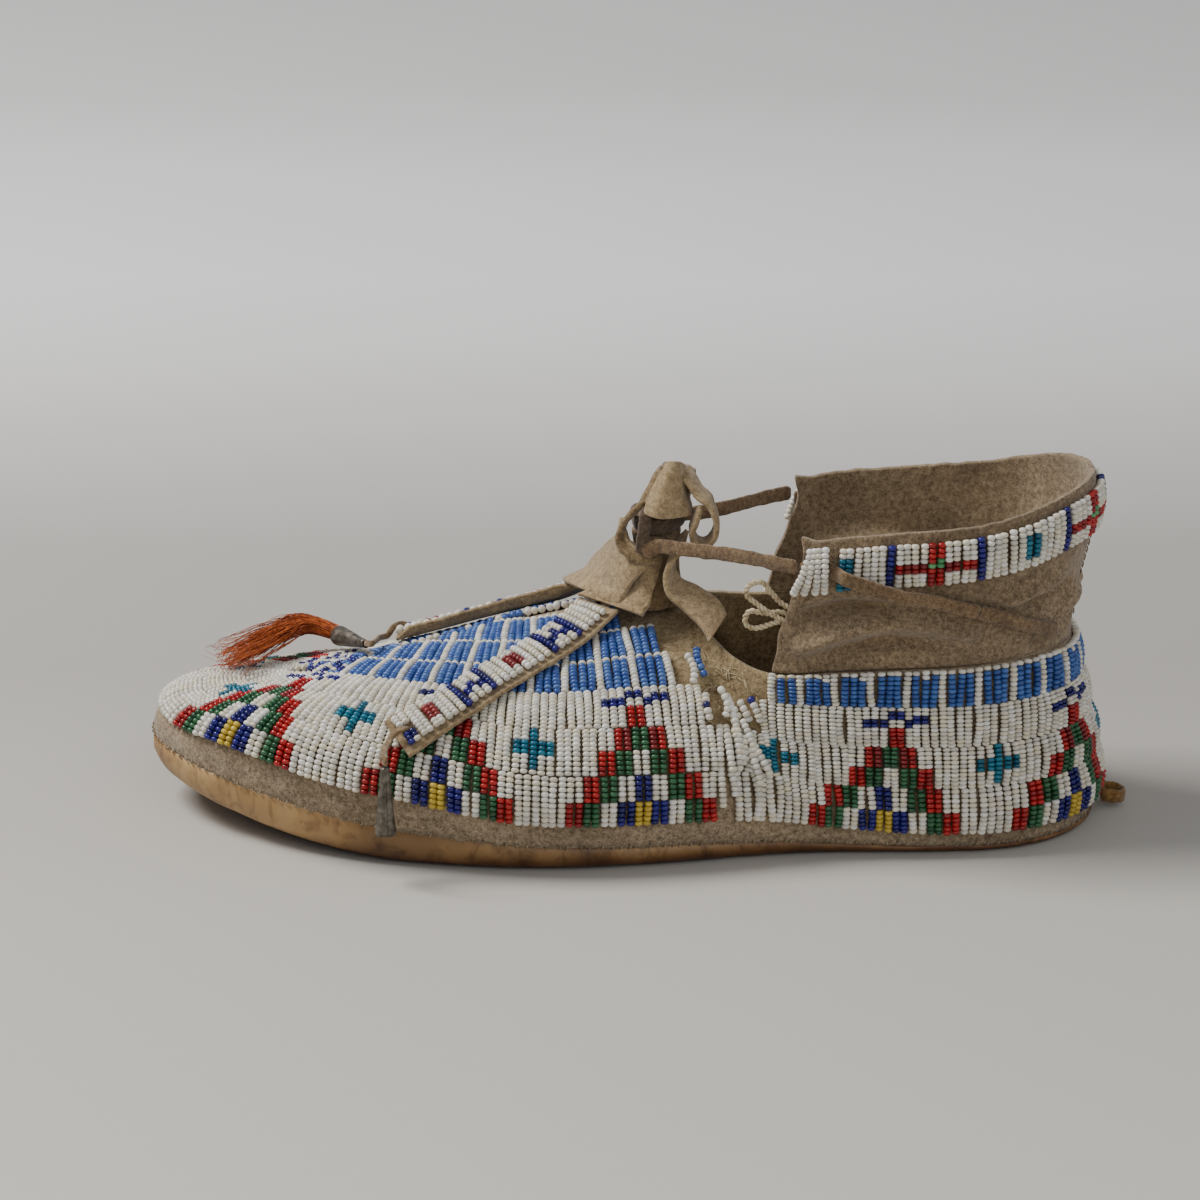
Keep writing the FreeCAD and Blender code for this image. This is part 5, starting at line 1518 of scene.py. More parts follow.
def fork_piece(side, word):
    nu, nv = 110, 16
    g = []
    for a in range(nu + 1):
        u = a / nu
        p, t, w, m = fork_frame(side, u)
        row_ = []
        for b in range(nv + 1):
            v = -1 + 2 * b / nv
            half = FORK_W / 2 + 1.15
            lo_extra = 0.45 * (1 if v < -0.85 else 0)
            q = add(p, w, half * v - lo_extra + 0.25 * (abs(v) > 0.9) * nz(u * 60, v, side, 0.35, 3.0))
            edge = smoothstep(0.78, 1.0, abs(v))
            z = FORK_Z + FORK_HIDE / 2 - 0.1 + 0.5 * edge * (1 if v < 0 else 0.5) + edge * 0.35 * nz(u * 70, v * 3, side, 0.5, 1.0)
            if side > 0:
                z += 1.9 * smoothstep(0.55, 1.0, v) * smoothstep(0.0, 0.12, u) * (1 - smoothstep(0.85, 1.0, u))
            if u < 0.03:
                q = add(q, t, 0.5 * nz(v * 9, side, 0, 0.4, 8.0) - 0.1)
            row_.append(add(q, m, z))
        g.append(row_)
    ob = shell("fork_hide_" + word, g, FORK_HIDE * 0.95, [FORK_MAT], None, ("fork_" + word,))
    fork_blend(ob, side)
    # beads: short threads across the strip
    L = sum(math.dist(fork_frame(side, k / 40)[0], fork_frame(side, (k + 1) / 40)[0]) for k in range(40))
    n = int(round(L * 0.955 / 2.06))
    print('fork', word, round(L, 1), n)
    beads = []
    for c in range(n):
        u = 0.018 + (0.975 - 0.018) * (c + 0.5) / n
        ch = FORK_SEQ[c] if c < len(FORK_SEQ) else "W"
        m_ = 8
        col = ["W"] * m_
        if ch == "n":
            for j in ((0, 1, 2, 3), (1, 2, 3, 4), (0, 2, 3, 5))[c % 3]:
                col[j] = "N"
        elif ch == "N":
            col = ["N"] * m_
        elif ch == "F":
            for j in (2, 3, 4, 5):
                col[j] = "F"
        elif ch == "p":
            col[2], col[3] = "N", "N"
        elif ch == "q":
            col[3], col[4] = "N", "N"
            if RNG.random() < 0.5:
                col[5] = "N"
        h = FORK_W / 2 - 0.2

        def at(a, u=u):
            p, t, w, m = fork_frame(side, u)
            return add(add(p, w, a), m, FORK_Z + FORK_HIDE - 0.05), m
        lean = RNG.gauss(0, 0.1)
        bs_ = bead_column(at, -h, h, col, hump=0.45, jit=0.09, tilt=0.3 + lean, bow=0.14, r=BEAD_R * 0.95, lift=0.05)
        if u < 0.075:
            # leave the thong hole open
            p, t, w, m = fork_frame(side, 0.045)
            hc = add(p, m, FORK_Z + FORK_HIDE + 0.8)
            bs_ = [b for b in bs_ if math.dist(b[0], hc) > 1.75]
        beads += bs_
    ob = bead_piece("fork_strip_beads_" + word, beads, None, ("fork_beads_" + word,))
    fork_blend(ob, side)


fork_piece(-1, "lateral")
fork_piece(1, "medial")


# ---------------------------------------------------------------------------
# tin cones on their thongs, one with a tuft of dyed horsehair
# ---------------------------------------------------------------------------
CONE_L, CONE_R0, CONE_R1 = 17.6, 1.1, 2.75


def rolled_cone(name, p, d, body, rep, seed):
    """sheet tin rolled round once, its long edge lapped over"""
    d = unit(d)
    a = unit(cross(d, (0.2, 0.5, 0.8)))
    b = cross(d, a)
    NL, NA = 14, 44
    verts, faces = [], []
    turn = 2 * math.pi * 1.14
    for layer in (0, 1):
        for k in range(NL + 1):
            f = k / NL
            r = CONE_R0 + (CONE_R1 - CONE_R0) * f
            for q in range(NA + 1):
                an = turn * q / NA
                lap = 0.26 * smoothstep(0.80, 0.90, q / NA) - 0.10
                dent = 0.10 * nz(f * 3, math.cos(an) * 1.2, math.sin(an) * 1.2, 1.0, seed)
                rr = (r + lap + dent) - (0.28 if layer else 0.0)
                rr = max(rr, 0.55)
                z = CONE_L * f + (0.22 * nz(math.cos(an), math.sin(an), 0, 1.5, seed + 4) if k in (0, NL) else 0.0)
                c = add(p, d, z)
                verts.append(add(add(c, a, math.cos(an) * rr), b, math.sin(an) * rr))
    w = NA + 1
    o = (NL + 1) * w
    for k in range(NL):
        for q in range(NA):
            x, y, z_, t = k * w + q, (k + 1) * w + q, (k + 1) * w + q + 1, k * w + q + 1
            faces.append((x, t, z_, y))
            faces.append((o + x, o + y, o + z_, o + t))
        for q in (0, NA):
            x, y = k * w + q, (k + 1) * w + q
            faces.append((x, y, o + y, o + x) if q == 0 else (x, o + x, o + y, y))
    for q in range(NA):
        for k in (0, NL):
            x, y = k * w + q, k * w + q + 1
            faces.append((x, o + x, o + y, y) if k == 0 else (x, y, o + y, o + x))
    return mesh_piece(name, verts, faces, [TIN], body, rep, recalc=True)


HANG = (-60.0, -54.0, 30.4)
LIE, MOUTH_END = (-67.0, 4.2, 42.0), (-74.2, 19.8, 38.6)
CONE_DIR = unit(sub(MOUTH_END, LIE))
rolled_cone("cone_lateral", HANG, (0, 0, -1), "lateral_cone", ("tin_cone_lateral",), 2.0)
rolled_cone("cone_medial", LIE, CONE_DIR, "medial_cone", ("tin_cone_medial",), 9.0)


def cone_thongs():
    p, t, w, m = fork_frame(-1, 0.0)
    hole = add(add(p, t, 3.2), m, FORK_Z + FORK_HIDE + 0.9)
    edge = add(add(p, t, -2.6), m, FORK_Z + FORK_HIDE / 2)
    mid = tuple(0.5 * (a + b) for a, b in zip(edge, HANG))
    pts = [add(hole, m, -1.0), add(hole, m, 0.9), add(add(hole, t, -1.6), m, 1.7), add(add(p, t, -0.4), m, FORK_Z + 3.4), add(add(p, t, -1.9), m, FORK_Z + 2.0), add(mid, (-0.6, -0.8, 1.2)), (HANG[0], HANG[1], HANG[2] + 2.2), (HANG[0], HANG[1], HANG[2] + 0.3)]
    strap("cone_tie_lateral", pts, [(0.6, -0.8, 0.0)] * len(pts), 1.9, 0.85, THONG_PALE, "lateral_fork", ("cone_thong_lateral",), n=46, seed=3.0)
    p, t, w, m = fork_frame(1, 0.0)
    hole = add(add(p, t, 3.0), m, FORK_Z + FORK_HIDE + 0.9)
    pts = [add(hole, m, -1.0), add(hole, m, 0.9), add(add(hole, t, -1.5), m, 1.6), add(add(p, t, -0.6), m, FORK_Z + 3.2), add(add(p, t, -2.4), m, FORK_Z + 1.6), add(add(add(p, t, -4.2), (0, -4.0, 0)), m, FORK_Z + 2.7), add(LIE, (2.1, -3.0, 1.2)), add(LIE, (1.0, -1.8, 0.6)), add(LIE, CONE_DIR, 0.2)]
    strap("cone_tie_medial", pts, [(0.1, 0.3, 1)] * len(pts), 1.6, 0.85, THONG_PALE, "medial_fork", ("cone_thong_medial",), n=46, seed=6.0)


cone_thongs()


def hair():
    mouth = add(LIE, CONE_DIR, CONE_L - 5.0)
    spine = [mouth, add(mouth, CONE_DIR, 4.0), add(add(mouth, CONE_DIR, 6.6), (-1.2, 0.0, 1.0)), (-81.6, 22.4, 40.6), (-86.4, 21.4, 40.7), (-91.5, 17.2, 39.4), (-96.4, 12.4, 38.2), (-101.0, 9.0, 36.8), (-104.4, 7.6, 35.2)]
    rad = [1.0, 1.5, 1.9, 2.1, 2.3, 2.7, 3.1, 3.4, 3.6]
    lines, radii, idx = [], [], []
    for k in range(330):
        a0 = RNG.uniform(0, 6.283)
        rr = math.sqrt(RNG.random())
        fly = k % 3 == 0
        ph = RNG.uniform(0, 6.283)
        end = RNG.uniform(0.55, 1.0) if not fly else RNG.uniform(0.7, 1.04)
        curl = RNG.uniform(0.5, 1.5) * (1.6 if fly else 1.0)
        ln = []
        n = 20
        drift = RNG.uniform(-0.7, 0.7)
        for j in range(n + 1):
            f = end * j / n
            x = f * (len(spine) - 1)
            q = min(int(x), len(spine) - 2)
            c = cr(spine, q, x - q)
            d = unit(sub(cr(spine, q, min(x - q + 0.05, 1)), cr(spine, q, max(x - q - 0.05, 0))))
            r = lerp(rad[q], rad[q + 1], x - q) * rr * (1.0 + (1.9 * f * f if fly else 0.3 * f))
            u = unit(cross(d, (0, 0.2, 1)))
            v = cross(d, u)
            an = a0 + drift * f * 3
            wave = (0.5 * math.sin(ph + f * 13.0) + 0.42 * math.sin(1.7 * ph + f * 27.0)) * f * curl
            lift = (0.36 * math.cos(ph + f * 17.0) + 0.3 * math.sin(ph + f * 31.0)) * f * curl
            flat = 1.0 - 0.45 * smoothstep(0.35, 0.9, f)
            pt = add(add(c, u, math.cos(an) * r * (1.25 if f > 0.4 else 1.0) + wave), v, math.sin(an) * r * flat + lift)
            ln.append(pt)
        lines.append(ln)
        radii.append(lambda f, fly=fly: (0.15 if not fly else 0.11) * (1.0 - 0.55 * f))
        idx.append(1 if RNG.random() < 0.3 else 0)
    tubes("horsehair", lines, radii, [HAIR_MAT, HAIR_DARK], "medial_cone", ("horsehair_tuft",), sides=4, idx=idx)


hair()


# ---------------------------------------------------------------------------
# lace: a flat dark thong round the tongue, through the cuffs and round the heel
# ---------------------------------------------------------------------------
THONG_W, THONG_T = 3.7, 1.1
KNOT_C = (7.1, -0.8, 73.4)


def ring_path(cx, cy, cz, rx, ry, tilt, n=20, seed=0.0):
    pts, dr = [], []
    for k in range(n):
        a = 2 * math.pi * k / n
        pts.append((cx + rx * math.cos(a), cy + ry * math.sin(a), cz + tilt * math.cos(a) + 0.35 * math.sin(2 * a + seed)))
        dr.append((0.18 * math.cos(a), 0.18 * math.sin(a), 1.0))
    return pts, dr


def lace():
    pts, dr = ring_path(7.0, -0.8, 73.2, 5.4, 7.0, 0.2, seed=0.4)
    strap("lace_wrap_lower", pts, dr, 3.6, 1.3, THONG_MAT, "shoe", ("lace_knot",), n=90, closed=True, seed=1.0, wob=0.16)
    pts, dr = ring_path(7.6, -0.8, 77.9, 6.4, 7.4, 0.3, seed=2.0)
    strap("lace_wrap_upper", pts, dr, 4.2, 1.3, WRAP_MAT, "shoe", n=90, closed=True, seed=4.0, wob=0.14)
    # the turn that binds the wraps together at the front
    tuck = [(6.6, -6.4, 82.4), (5.0, -8.6, 82.2), (4.2, -10.1, 80.2), (3.9, -10.6, 77.4), (3.5, -10.6, 74.6), (3.6, -10.2, 72.6), (5.2, -9.4, 71.2), (7.6, -8.2, 71.0)]
    strap("lace_tuck", tuck, [(1.0, 0.25, 0.1)] * 6 + [(0.8, 0.3, 0.5)] * 2, 3.3, 1.3, WRAP_MAT, "shoe", n=60, seed=8.0, wob=0.16)
    for side, word in ((-1, "lateral"), (1, "medial")):
        front = {
            -1: [(3.6, -10.9, 71.6), (7.4, -11.6, 73.6), (14.5, -15.6, 74.1), (23.6, -20.6, 74.7), (32.0, -26.4, 75.2), (37.5, -30.4, 75.3), (41.6, -32.8, 75.3)],
            1: [(8.4, 5.4, 74.8), (10.0, 9.4, 74.6), (16.5, 12.7, 74.3), (24.0, 17.5, 74.1), (32.0, 24.0, 74.0), (37.5, 29.0, 73.8), (41.6, 31.8, 73.6)],
        }[side]
        ob = strap("lace_fore_" + word, front, [(0, 0.1, 1)] * 7, THONG_W, THONG_T, THONG_MAT, "shoe", ("lace_front_" + word,), n=70, seed=14.0 + side, wob=0.14)
        off = 0.95 + THONG_T / 2
        wing = [(12.0, 0.822, 0.0), (12.1, 0.82, 0.0), (12.4, 0.81, 0.0), (12.68, 0.79, 0.0), (12.86, 0.77, 1.0), (13.0, 0.75, 3.0), (13.2, 0.715, 3.15), (13.5, 0.665, 3.15), (13.8, 0.615, 3.15), (14.05, 0.575, 3.0), (14.25, 0.54, 1.2), (14.5, 0.50, 0.0), (14.8, 0.45, 0.0), (15.15, 0.396, 0.0)]
        back = [(15.15, 0.396, 0.0), (15.6, 0.32, 0.0), (16.1, 0.235, 0.0), (16.6, 0.17, 0.0), (17.0, 0.13, 0.0), (17.06, 0.125, -1.4)]

        def on(tab):
            pts, dr = [], []
            for i, t, h in tab:
                p, n = cuff_pn(side, i, t)
                q = cuff_shape(side, i, t, 0)
                pts.append(add(q, n, off + h))
                a = cuff_pn(side, i, min(t + 0.05, 1.0))[0]
                b = cuff_pn(side, i, max(t - 0.05, 0.0))[0]
                dr.append(sub(a, b))
            return pts, dr
        pts, dr = on(wing)
        ob = strap("lace_over_wing_" + word, pts, dr, THONG_W, THONG_T * 1.25, THONG_MAT, None, ("lace_wing_" + word,), n=110, seed=18.0 + side, wob=0.12)
        wing_blend(ob)
        pts, dr = on(back)
        ob = strap("lace_over_back_" + word, pts, dr, THONG_W, THONG_T * 1.25, THONG_MAT, None, ("lace_back_" + word,), n=80, seed=22.0 + side, wob=0.12)
        wing_blend(ob)
    inner = [(-1, i) for i in (16.9, 17.3, 17.8, 18.3, 18.8)] + [(1, i) for i in (18.8, 18.3, 17.8, 17.3, 16.9)]
    pts = []
    for sd, i in inner:
        p, n = cuff_pn(sd, i, 0.19)
        pts.append(add(p, n, -CUFF_HIDE - 0.9))
    strap("lace_inside_heel", pts, [(0, 0, 1)] * len(pts), THONG_W, THONG_T, THONG_MAT, "shoe", ("lace_heel_inner",), n=80, seed=30.0)


lace()


# ---------------------------------------------------------------------------
# tongue: one piece of soft hide, pleated together inside the wraps
# ---------------------------------------------------------------------------
def tongue():
    # the pleated middle of the hide, held inside the wraps: z, centre, half widths, pleat depth
    levels = [
        (54.7, 6.6, 3.6, 5.8, 8.6, 0.10),
        (58.5, 6.4, 2.8, 5.6, 8.0, 0.14),
        (62.5, 6.4, 1.8, 5.2, 7.2, 0.20),
        (66.5, 6.6, 0.8, 4.7, 6.3, 0.26),
        (70.5, 7.0, -0.8, 4.3, 5.4, 0.24),
        (73.5, 7.1, -0.8, 3.9, 4.9, 0.18),
        (76.5, 7.5, -0.8, 4.2, 5.0, 0.18),
        (79.5, 8.2, -0.6, 4.6, 5.6, 0.24),
        (82.5, 9.4, -0.2, 4.4, 5.6, 0.28),
        (86.0, 10.8, 0.4, 4.0, 6.0, 0.26),
        (89.5, 12.0, 0.8, 3.4, 6.2, 0.20),
    ]
    NA = 120
    g = []
    for z, cx, cy, rx, ry, pl in levels:
        row_ = []
        for k in range(NA):
            a = 2 * math.pi * k / NA
            f = 1 + pl * (0.6 * math.sin(a * 7 + 0.6 * math.sin(z * 0.12)) + 0.4 * math.sin(a * 11 + 1.3 + z * 0.03)) * (0.7 + 0.5 * nz(math.cos(a), math.sin(a), z * 0.02, 1.0, 5.0))
            row_.append((cx + rx * math.cos(a) * f, cy + ry * math.sin(a) * f, z))
        g.append(row_)
    cols = [smooth_line([r[k] for r in g], 60) for k in range(NA)]
    grid = [[cols[k][j] for k in range(NA)] for j in range(61)]
    # the gathered hide takes the darker copy of the tongue hide: painted shade inside the wraps
    shell("tongue_gather", grid, 1.3, [TONGUE_PAINTED_SHADE], "shoe", ("tongue",), closed_v=True, side=-1,
          disp=lambda u, v, p: 0.25 * nz(p[0], p[1], p[2], 0.35, 3.0))

    rough = lambda u, v, p: 0.22 * nz(p[0], p[1], p[2], 0.22, 9.0) + 0.10 * nz(p[0], p[1], p[2], 0.7, 2.0)
    # the end of the tongue turned over the wraps: a peaked flap with a folded far side
    peak = [
        [(9.9, -6.0, 93.6), (10.9, -6.4, 94.3), (12.3, -5.2, 93.8), (13.6, -2.0, 92.2)],
        [(8.0, -7.0, 90.9), (10.1, -8.5, 91.0), (12.5, -6.7, 90.6), (14.3, -1.5, 88.8)],
        [(5.9, -8.0, 87.0), (9.0, -10.0, 86.9), (13.1, -7.4, 85.6), (14.8, -2.0, 84.5)],
        [(4.4, -9.0, 83.5), (8.2, -11.4, 83.2), (14.4, -8.6, 82.0), (15.4, -3.0, 81.6)],
        [(3.9, -9.2, 81.4), (8.6, -11.8, 80.9), (14.6, -9.0, 80.7), (15.4, -3.0, 80.2)],
    ]
    shell("tongue_peak", grid_of(peak, 40, 30), 1.5, [TONGUE_MAT], "shoe", disp=rough)
    # the rolled loop beside it
    loop = [(13.2, -1.5, 91.6), (15.0, -3.6, 89.6), (17.4, -6.0, 86.6), (20.3, -7.6, 83.9), (22.0, -8.4, 79.8), (21.6, -8.8, 75.9), (19.4, -9.0, 73.7), (16.9, -9.0, 74.2), (16.0, -9.0, 76.8), (16.9, -8.4, 79.9), (17.6, -6.8, 82.4)]
    strap("tongue_loop", loop, [(0.1, 1, 0.25)] * 4 + [(0, 1, 0.1)] * 4 + [(0, 1, 0.2)] * 3, 6.4, 1.7, TONGUE_MAT, "shoe", n=90, wob=0.1, seed=51.0)
    # rolled collar under the wraps, in the darker copy of the tongue hide as painted shade
    collar = [(4.0, -6.2, 83.4), (1.4, -7.2, 81.4), (-1.2, -6.2, 77.6), (-1.7, -7.6, 74.2), (0.6, -9.6, 71.6), (4.0, -10.4, 70.2), (7.4, -9.0, 70.0)]
    strap("tongue_collar", collar, [(0.5, 0.9, 0.0), (0.5, 0.9, 0.1), (0.4, 0.9, 0.3), (0.2, 0.8, 0.6), (0.0, 0.6, 0.8), (0.0, 0.5, 0.9), (0.0, 0.5, 0.9)], 4.2, 1.7, TONGUE_PAINTED_SHADE, "shoe", n=80, wob=0.12, seed=53.0)
    # the lobe that runs into the lateral fork
    lobe = [
        [(2.2, -6.6, 71.2), (4.6, -7.8, 70.8), (6.8, -7.8, 70.6), (8.6, -5.8, 69.9)],
        [(0.6, -6.0, 67.2), (3.0, -7.4, 67.3), (6.0, -8.0, 67.2), (8.0, -6.5, 67.0)],
        [(-2.4, -4.4, 63.4), (1.0, -7.2, 63.2), (4.4, -9.2, 63.8), (7.1, -8.2, 63.6)],
        [(-6.5, -3.0, 60.6), (-1.5, -7.6, 60.0), (3.0, -11.0, 61.4), (6.1, -10.4, 61.2)],
        [(-10.0, -2.2, 58.6), (-4.5, -7.4, 58.2), (1.3, -12.0, 58.6), (5.5, -12.8, 58.9)],
        [(-12.8, -1.7, 57.3), (-8.0, -5.5, 57.1), (-3.1, -9.8, 56.9), (3.4, -14.6, 56.2)],
    ]
    shell("tongue_lobe_lateral", grid_of(lobe, 60, 36), 1.5, [TONGUE_MAT, TONGUE_PAINTED_SHADE], "shoe", disp=rough)
    # the lobe that runs back into the medial fork, lying over the other
    lobe = [
        [(-1.6, -3.0, 78.4), (-1.0, -6.6, 76.1), (0.6, -8.8, 73.8), (3.8, -9.4, 72.1), (7.2, -8.0, 71.4)],
        [(-2.4, 0.0, 73.5), (-1.8, -5.2, 72.0), (1.0, -8.8, 70.6), (4.4, -10.0, 69.6), (7.4, -8.2, 69.4)],
        [(-4.6, 6.0, 69.0), (-3.6, -1.0, 68.9), (-0.8, -7.7, 68.1), (2.2, -10.4, 67.4), (4.8, -9.9, 67.2)],
        [(-7.6, 12.0, 63.8), (-7.0, 3.0, 64.6), (-4.5, -4.8, 64.4), (-1.3, -9.4, 63.8), (1.4, -10.9, 64.2)],
        [(-10.0, 17.0, 58.8), (-10.2, 8.5, 60.5), (-8.5, 1.0, 61.2), (-4.0, -7.0, 60.8), (-0.9, -10.6, 60.4)],
        [(-12.6, 20.4, 54.6), (-13.2, 12.2, 58.0), (-12.4, 4.2, 59.2), (-6.7, -5.4, 59.3), (-1.7, -10.4, 58.6)],
        [(-15.5, 20.4, 52.6), (-16.6, 12.4, 56.2), (-14.8, 5.2, 57.8), (-8.0, -4.6, 58.2), (-2.6, -9.8, 57.6)],
    ]
    shell("tongue_lobe_medial", grid_of(lobe, 60, 44), 1.5, [TONGUE_MAT], "shoe", disp=rough)


tongue()


def tongue_flap():
    """the tongue's outer edge, standing on edge in an S as it drops inside the shoe"""
    path = [(13.8, -11.4, 72.2), (11.0, -12.6, 69.8), (9.3, -13.8, 65.8), (10.0, -14.8, 61.9), (13.5, -16.0, 58.7), (17.3, -18.0, 55.6), (19.4, -19.8, 53.2), (20.2, -21.2, 51.6)]
    dirs = [(0.1, 1, 0.3), (0.1, 1, 0.2), (0.2, 1, 0.1), (0.35, 0.95, 0.1), (0.45, 0.85, 0.3), (0.5, 0.8, 0.45), (0.5, 0.8, 0.5), (0.5, 0.8, 0.5)]
    line = smooth_line(path, 70)
    dl = smooth_line(dirs, 70)
    g = []
    for k, (p, d) in enumerate(zip(line, dl)):
        d = unit(d)
        g.append([add(p, d, 9.5 * q / 14) for q in range(15)])
    shell("tongue_side", g, 1.6, [TONGUE_MAT], "shoe", ("tongue_side_flap",),
          disp=lambda u, v, p: 0.2 * nz(p[0], p[1], p[2], 0.2, 7.0) + 0.3 * v * nz(p[0], p[1], p[2], 0.12, 3.0))


tongue_flap()


# ---------------------------------------------------------------------------
# small work: heel tab, seams, loose strings
# ---------------------------------------------------------------------------
def small_work():
    tab = [(120.9, -2.1, 3.6), (122.4, -3.0, 3.7), (125.4, -2.7, 3.3), (126.7, 0.0, 2.9), (125.4, 2.7, 3.3), (122.4, 3.0, 3.7), (120.9, 2.1, 3.6)]
    strap("heel_tab_loop", tab, [(0.15, 0, 1)] * 7, 3.4, 1.3, TAB_MAT, "shoe", ("heel_tab",), n=60, seed=41.0)
    # sinew whip stitches along the sole edge
    lines, rad = [], []
    total = 0.0
    ss = [38.0 * k / 1200 for k in range(1201)]
    prev = (RBx(0), RBy(0), REV["Bz"](0))
    cum = [0.0]
    for s in ss[1:]:
        q = (RBx(s), RBy(s), REV["Bz"](s))
        cum.append(cum[-1] + math.dist(prev, q))
        prev = q
    m = int(cum[-1] / 2.6)
    k = 0
    for c in range(m):
        d = cum[-1] * (c + RNG.uniform(0.2, 0.8)) / m
        while cum[k + 1] < d:
            k += 1
        s = ss[k] + (ss[k + 1] - ss[k]) * (d - cum[k]) / (cum[k + 1] - cum[k])
        pr = profile_s(s)
        p0, n0 = P(s, t_of_arc(pr, 0.15)), normal(s, t_of_arc(pr, 0.15))
        p1, n1 = P(s, t_of_arc(pr, 1.25)), normal(s, t_of_arc(pr, 1.25))
        tan = unit(sub(P(s + 0.05, 0), P(s - 0.05, 0)))
        sh = RNG.uniform(0.2, 0.9)
        a = add(add(p0, n0, 0.30), tan, -0.3)
        b = add(add(tuple(0.5 * (x + y) for x, y in zip(p0, p1)), n0, 0.62), tan, 0.2 * sh)
        e = add(add(p1, n1, 0.18), tan, 0.35 * sh)
        lines.append([a, b, e])
        rad.append(0.17)
    tubes("sole_stitches", lines, rad, [SINEW_DULL], "shoe", ("sole_seam_thread",), sides=6)
    # stitches holding the cuff inside the beaded part
    lines, rad = [], []
    n = 118
    for c in range(n):
        s = 12.3 + (38 - 24.6) * (c + RNG.uniform(0.25, 0.75)) / n
        L = length_s(s)
        pr = profile_s(s)
        out = []
        for a, o in ((L - 2.5, -HIDE - 0.12), (L - 2.0, -HIDE - 0.42), (L - 1.5, -HIDE - 0.18)):
            t = t_of_arc(pr, a)
            out.append(add(P(s + 0.012 * (a - L + 2.0), t), normal(s, t), o))
        lines.append(out)
        rad.append(0.16)
    tubes("cuff_stitches", lines, rad, [SINEW_DULL], "shoe", ("cuff_seam_thread",), sides=6)
    # heel seam: cross stitches up the back of the cuff
    lines, rad = [], []
    for c in range(11):
        t = 0.09 + 0.48 * c / 10
        for sg in (-1, 1):
            p, nn = cuff_pn(-1, 19.0, t)
            q, _ = cuff_pn(-1, 19.0, t + 0.03)
            a = (p[0] + 0.45, -0.75 * sg, p[2])
            b = ((p[0] + q[0]) / 2 + 0.62, 0.0, (p[2] + q[2]) / 2)
            e = (q[0] + 0.45, 0.75 * sg, q[2])
            lines.append([a, b, e])
            rad.append(0.18)
    tubes("heel_stitches", lines, rad, [SINEW_DULL], "shoe", ("heel_seam_thread",), sides=6)


small_work()


LOOPS = [
    [(42.6, -28.0, 61.4), (38.0, -26.4, 63.8), (36.5, -26.5, 65.4), (35.0, -26.6, 67.2), (34.0, -26.7, 68.8), (32.2, -26.8, 69.4), (30.2, -26.9, 68.6), (29.3, -26.9, 67.1), (29.8, -27.0, 65.5), (31.3, -27.1, 64.3), (33.3, -27.2, 62.7), (35.3, -27.3, 61.4), (37.8, -27.4, 59.9), (41.8, -28.1, 58.4)],
    [(42.2, -28.0, 60.4), (38.0, -26.0, 61.2), (34.8, -26.1, 60.9), (32.3, -26.3, 61.3), (30.3, -26.4, 61.6), (29.2, -26.5, 60.1), (29.3, -26.7, 58.3), (30.8, -26.8, 57.3), (33.1, -26.9, 57.5), (35.3, -27.1, 58.4), (38.0, -27.2, 59.0), (41.6, -28.0, 57.6)],
]


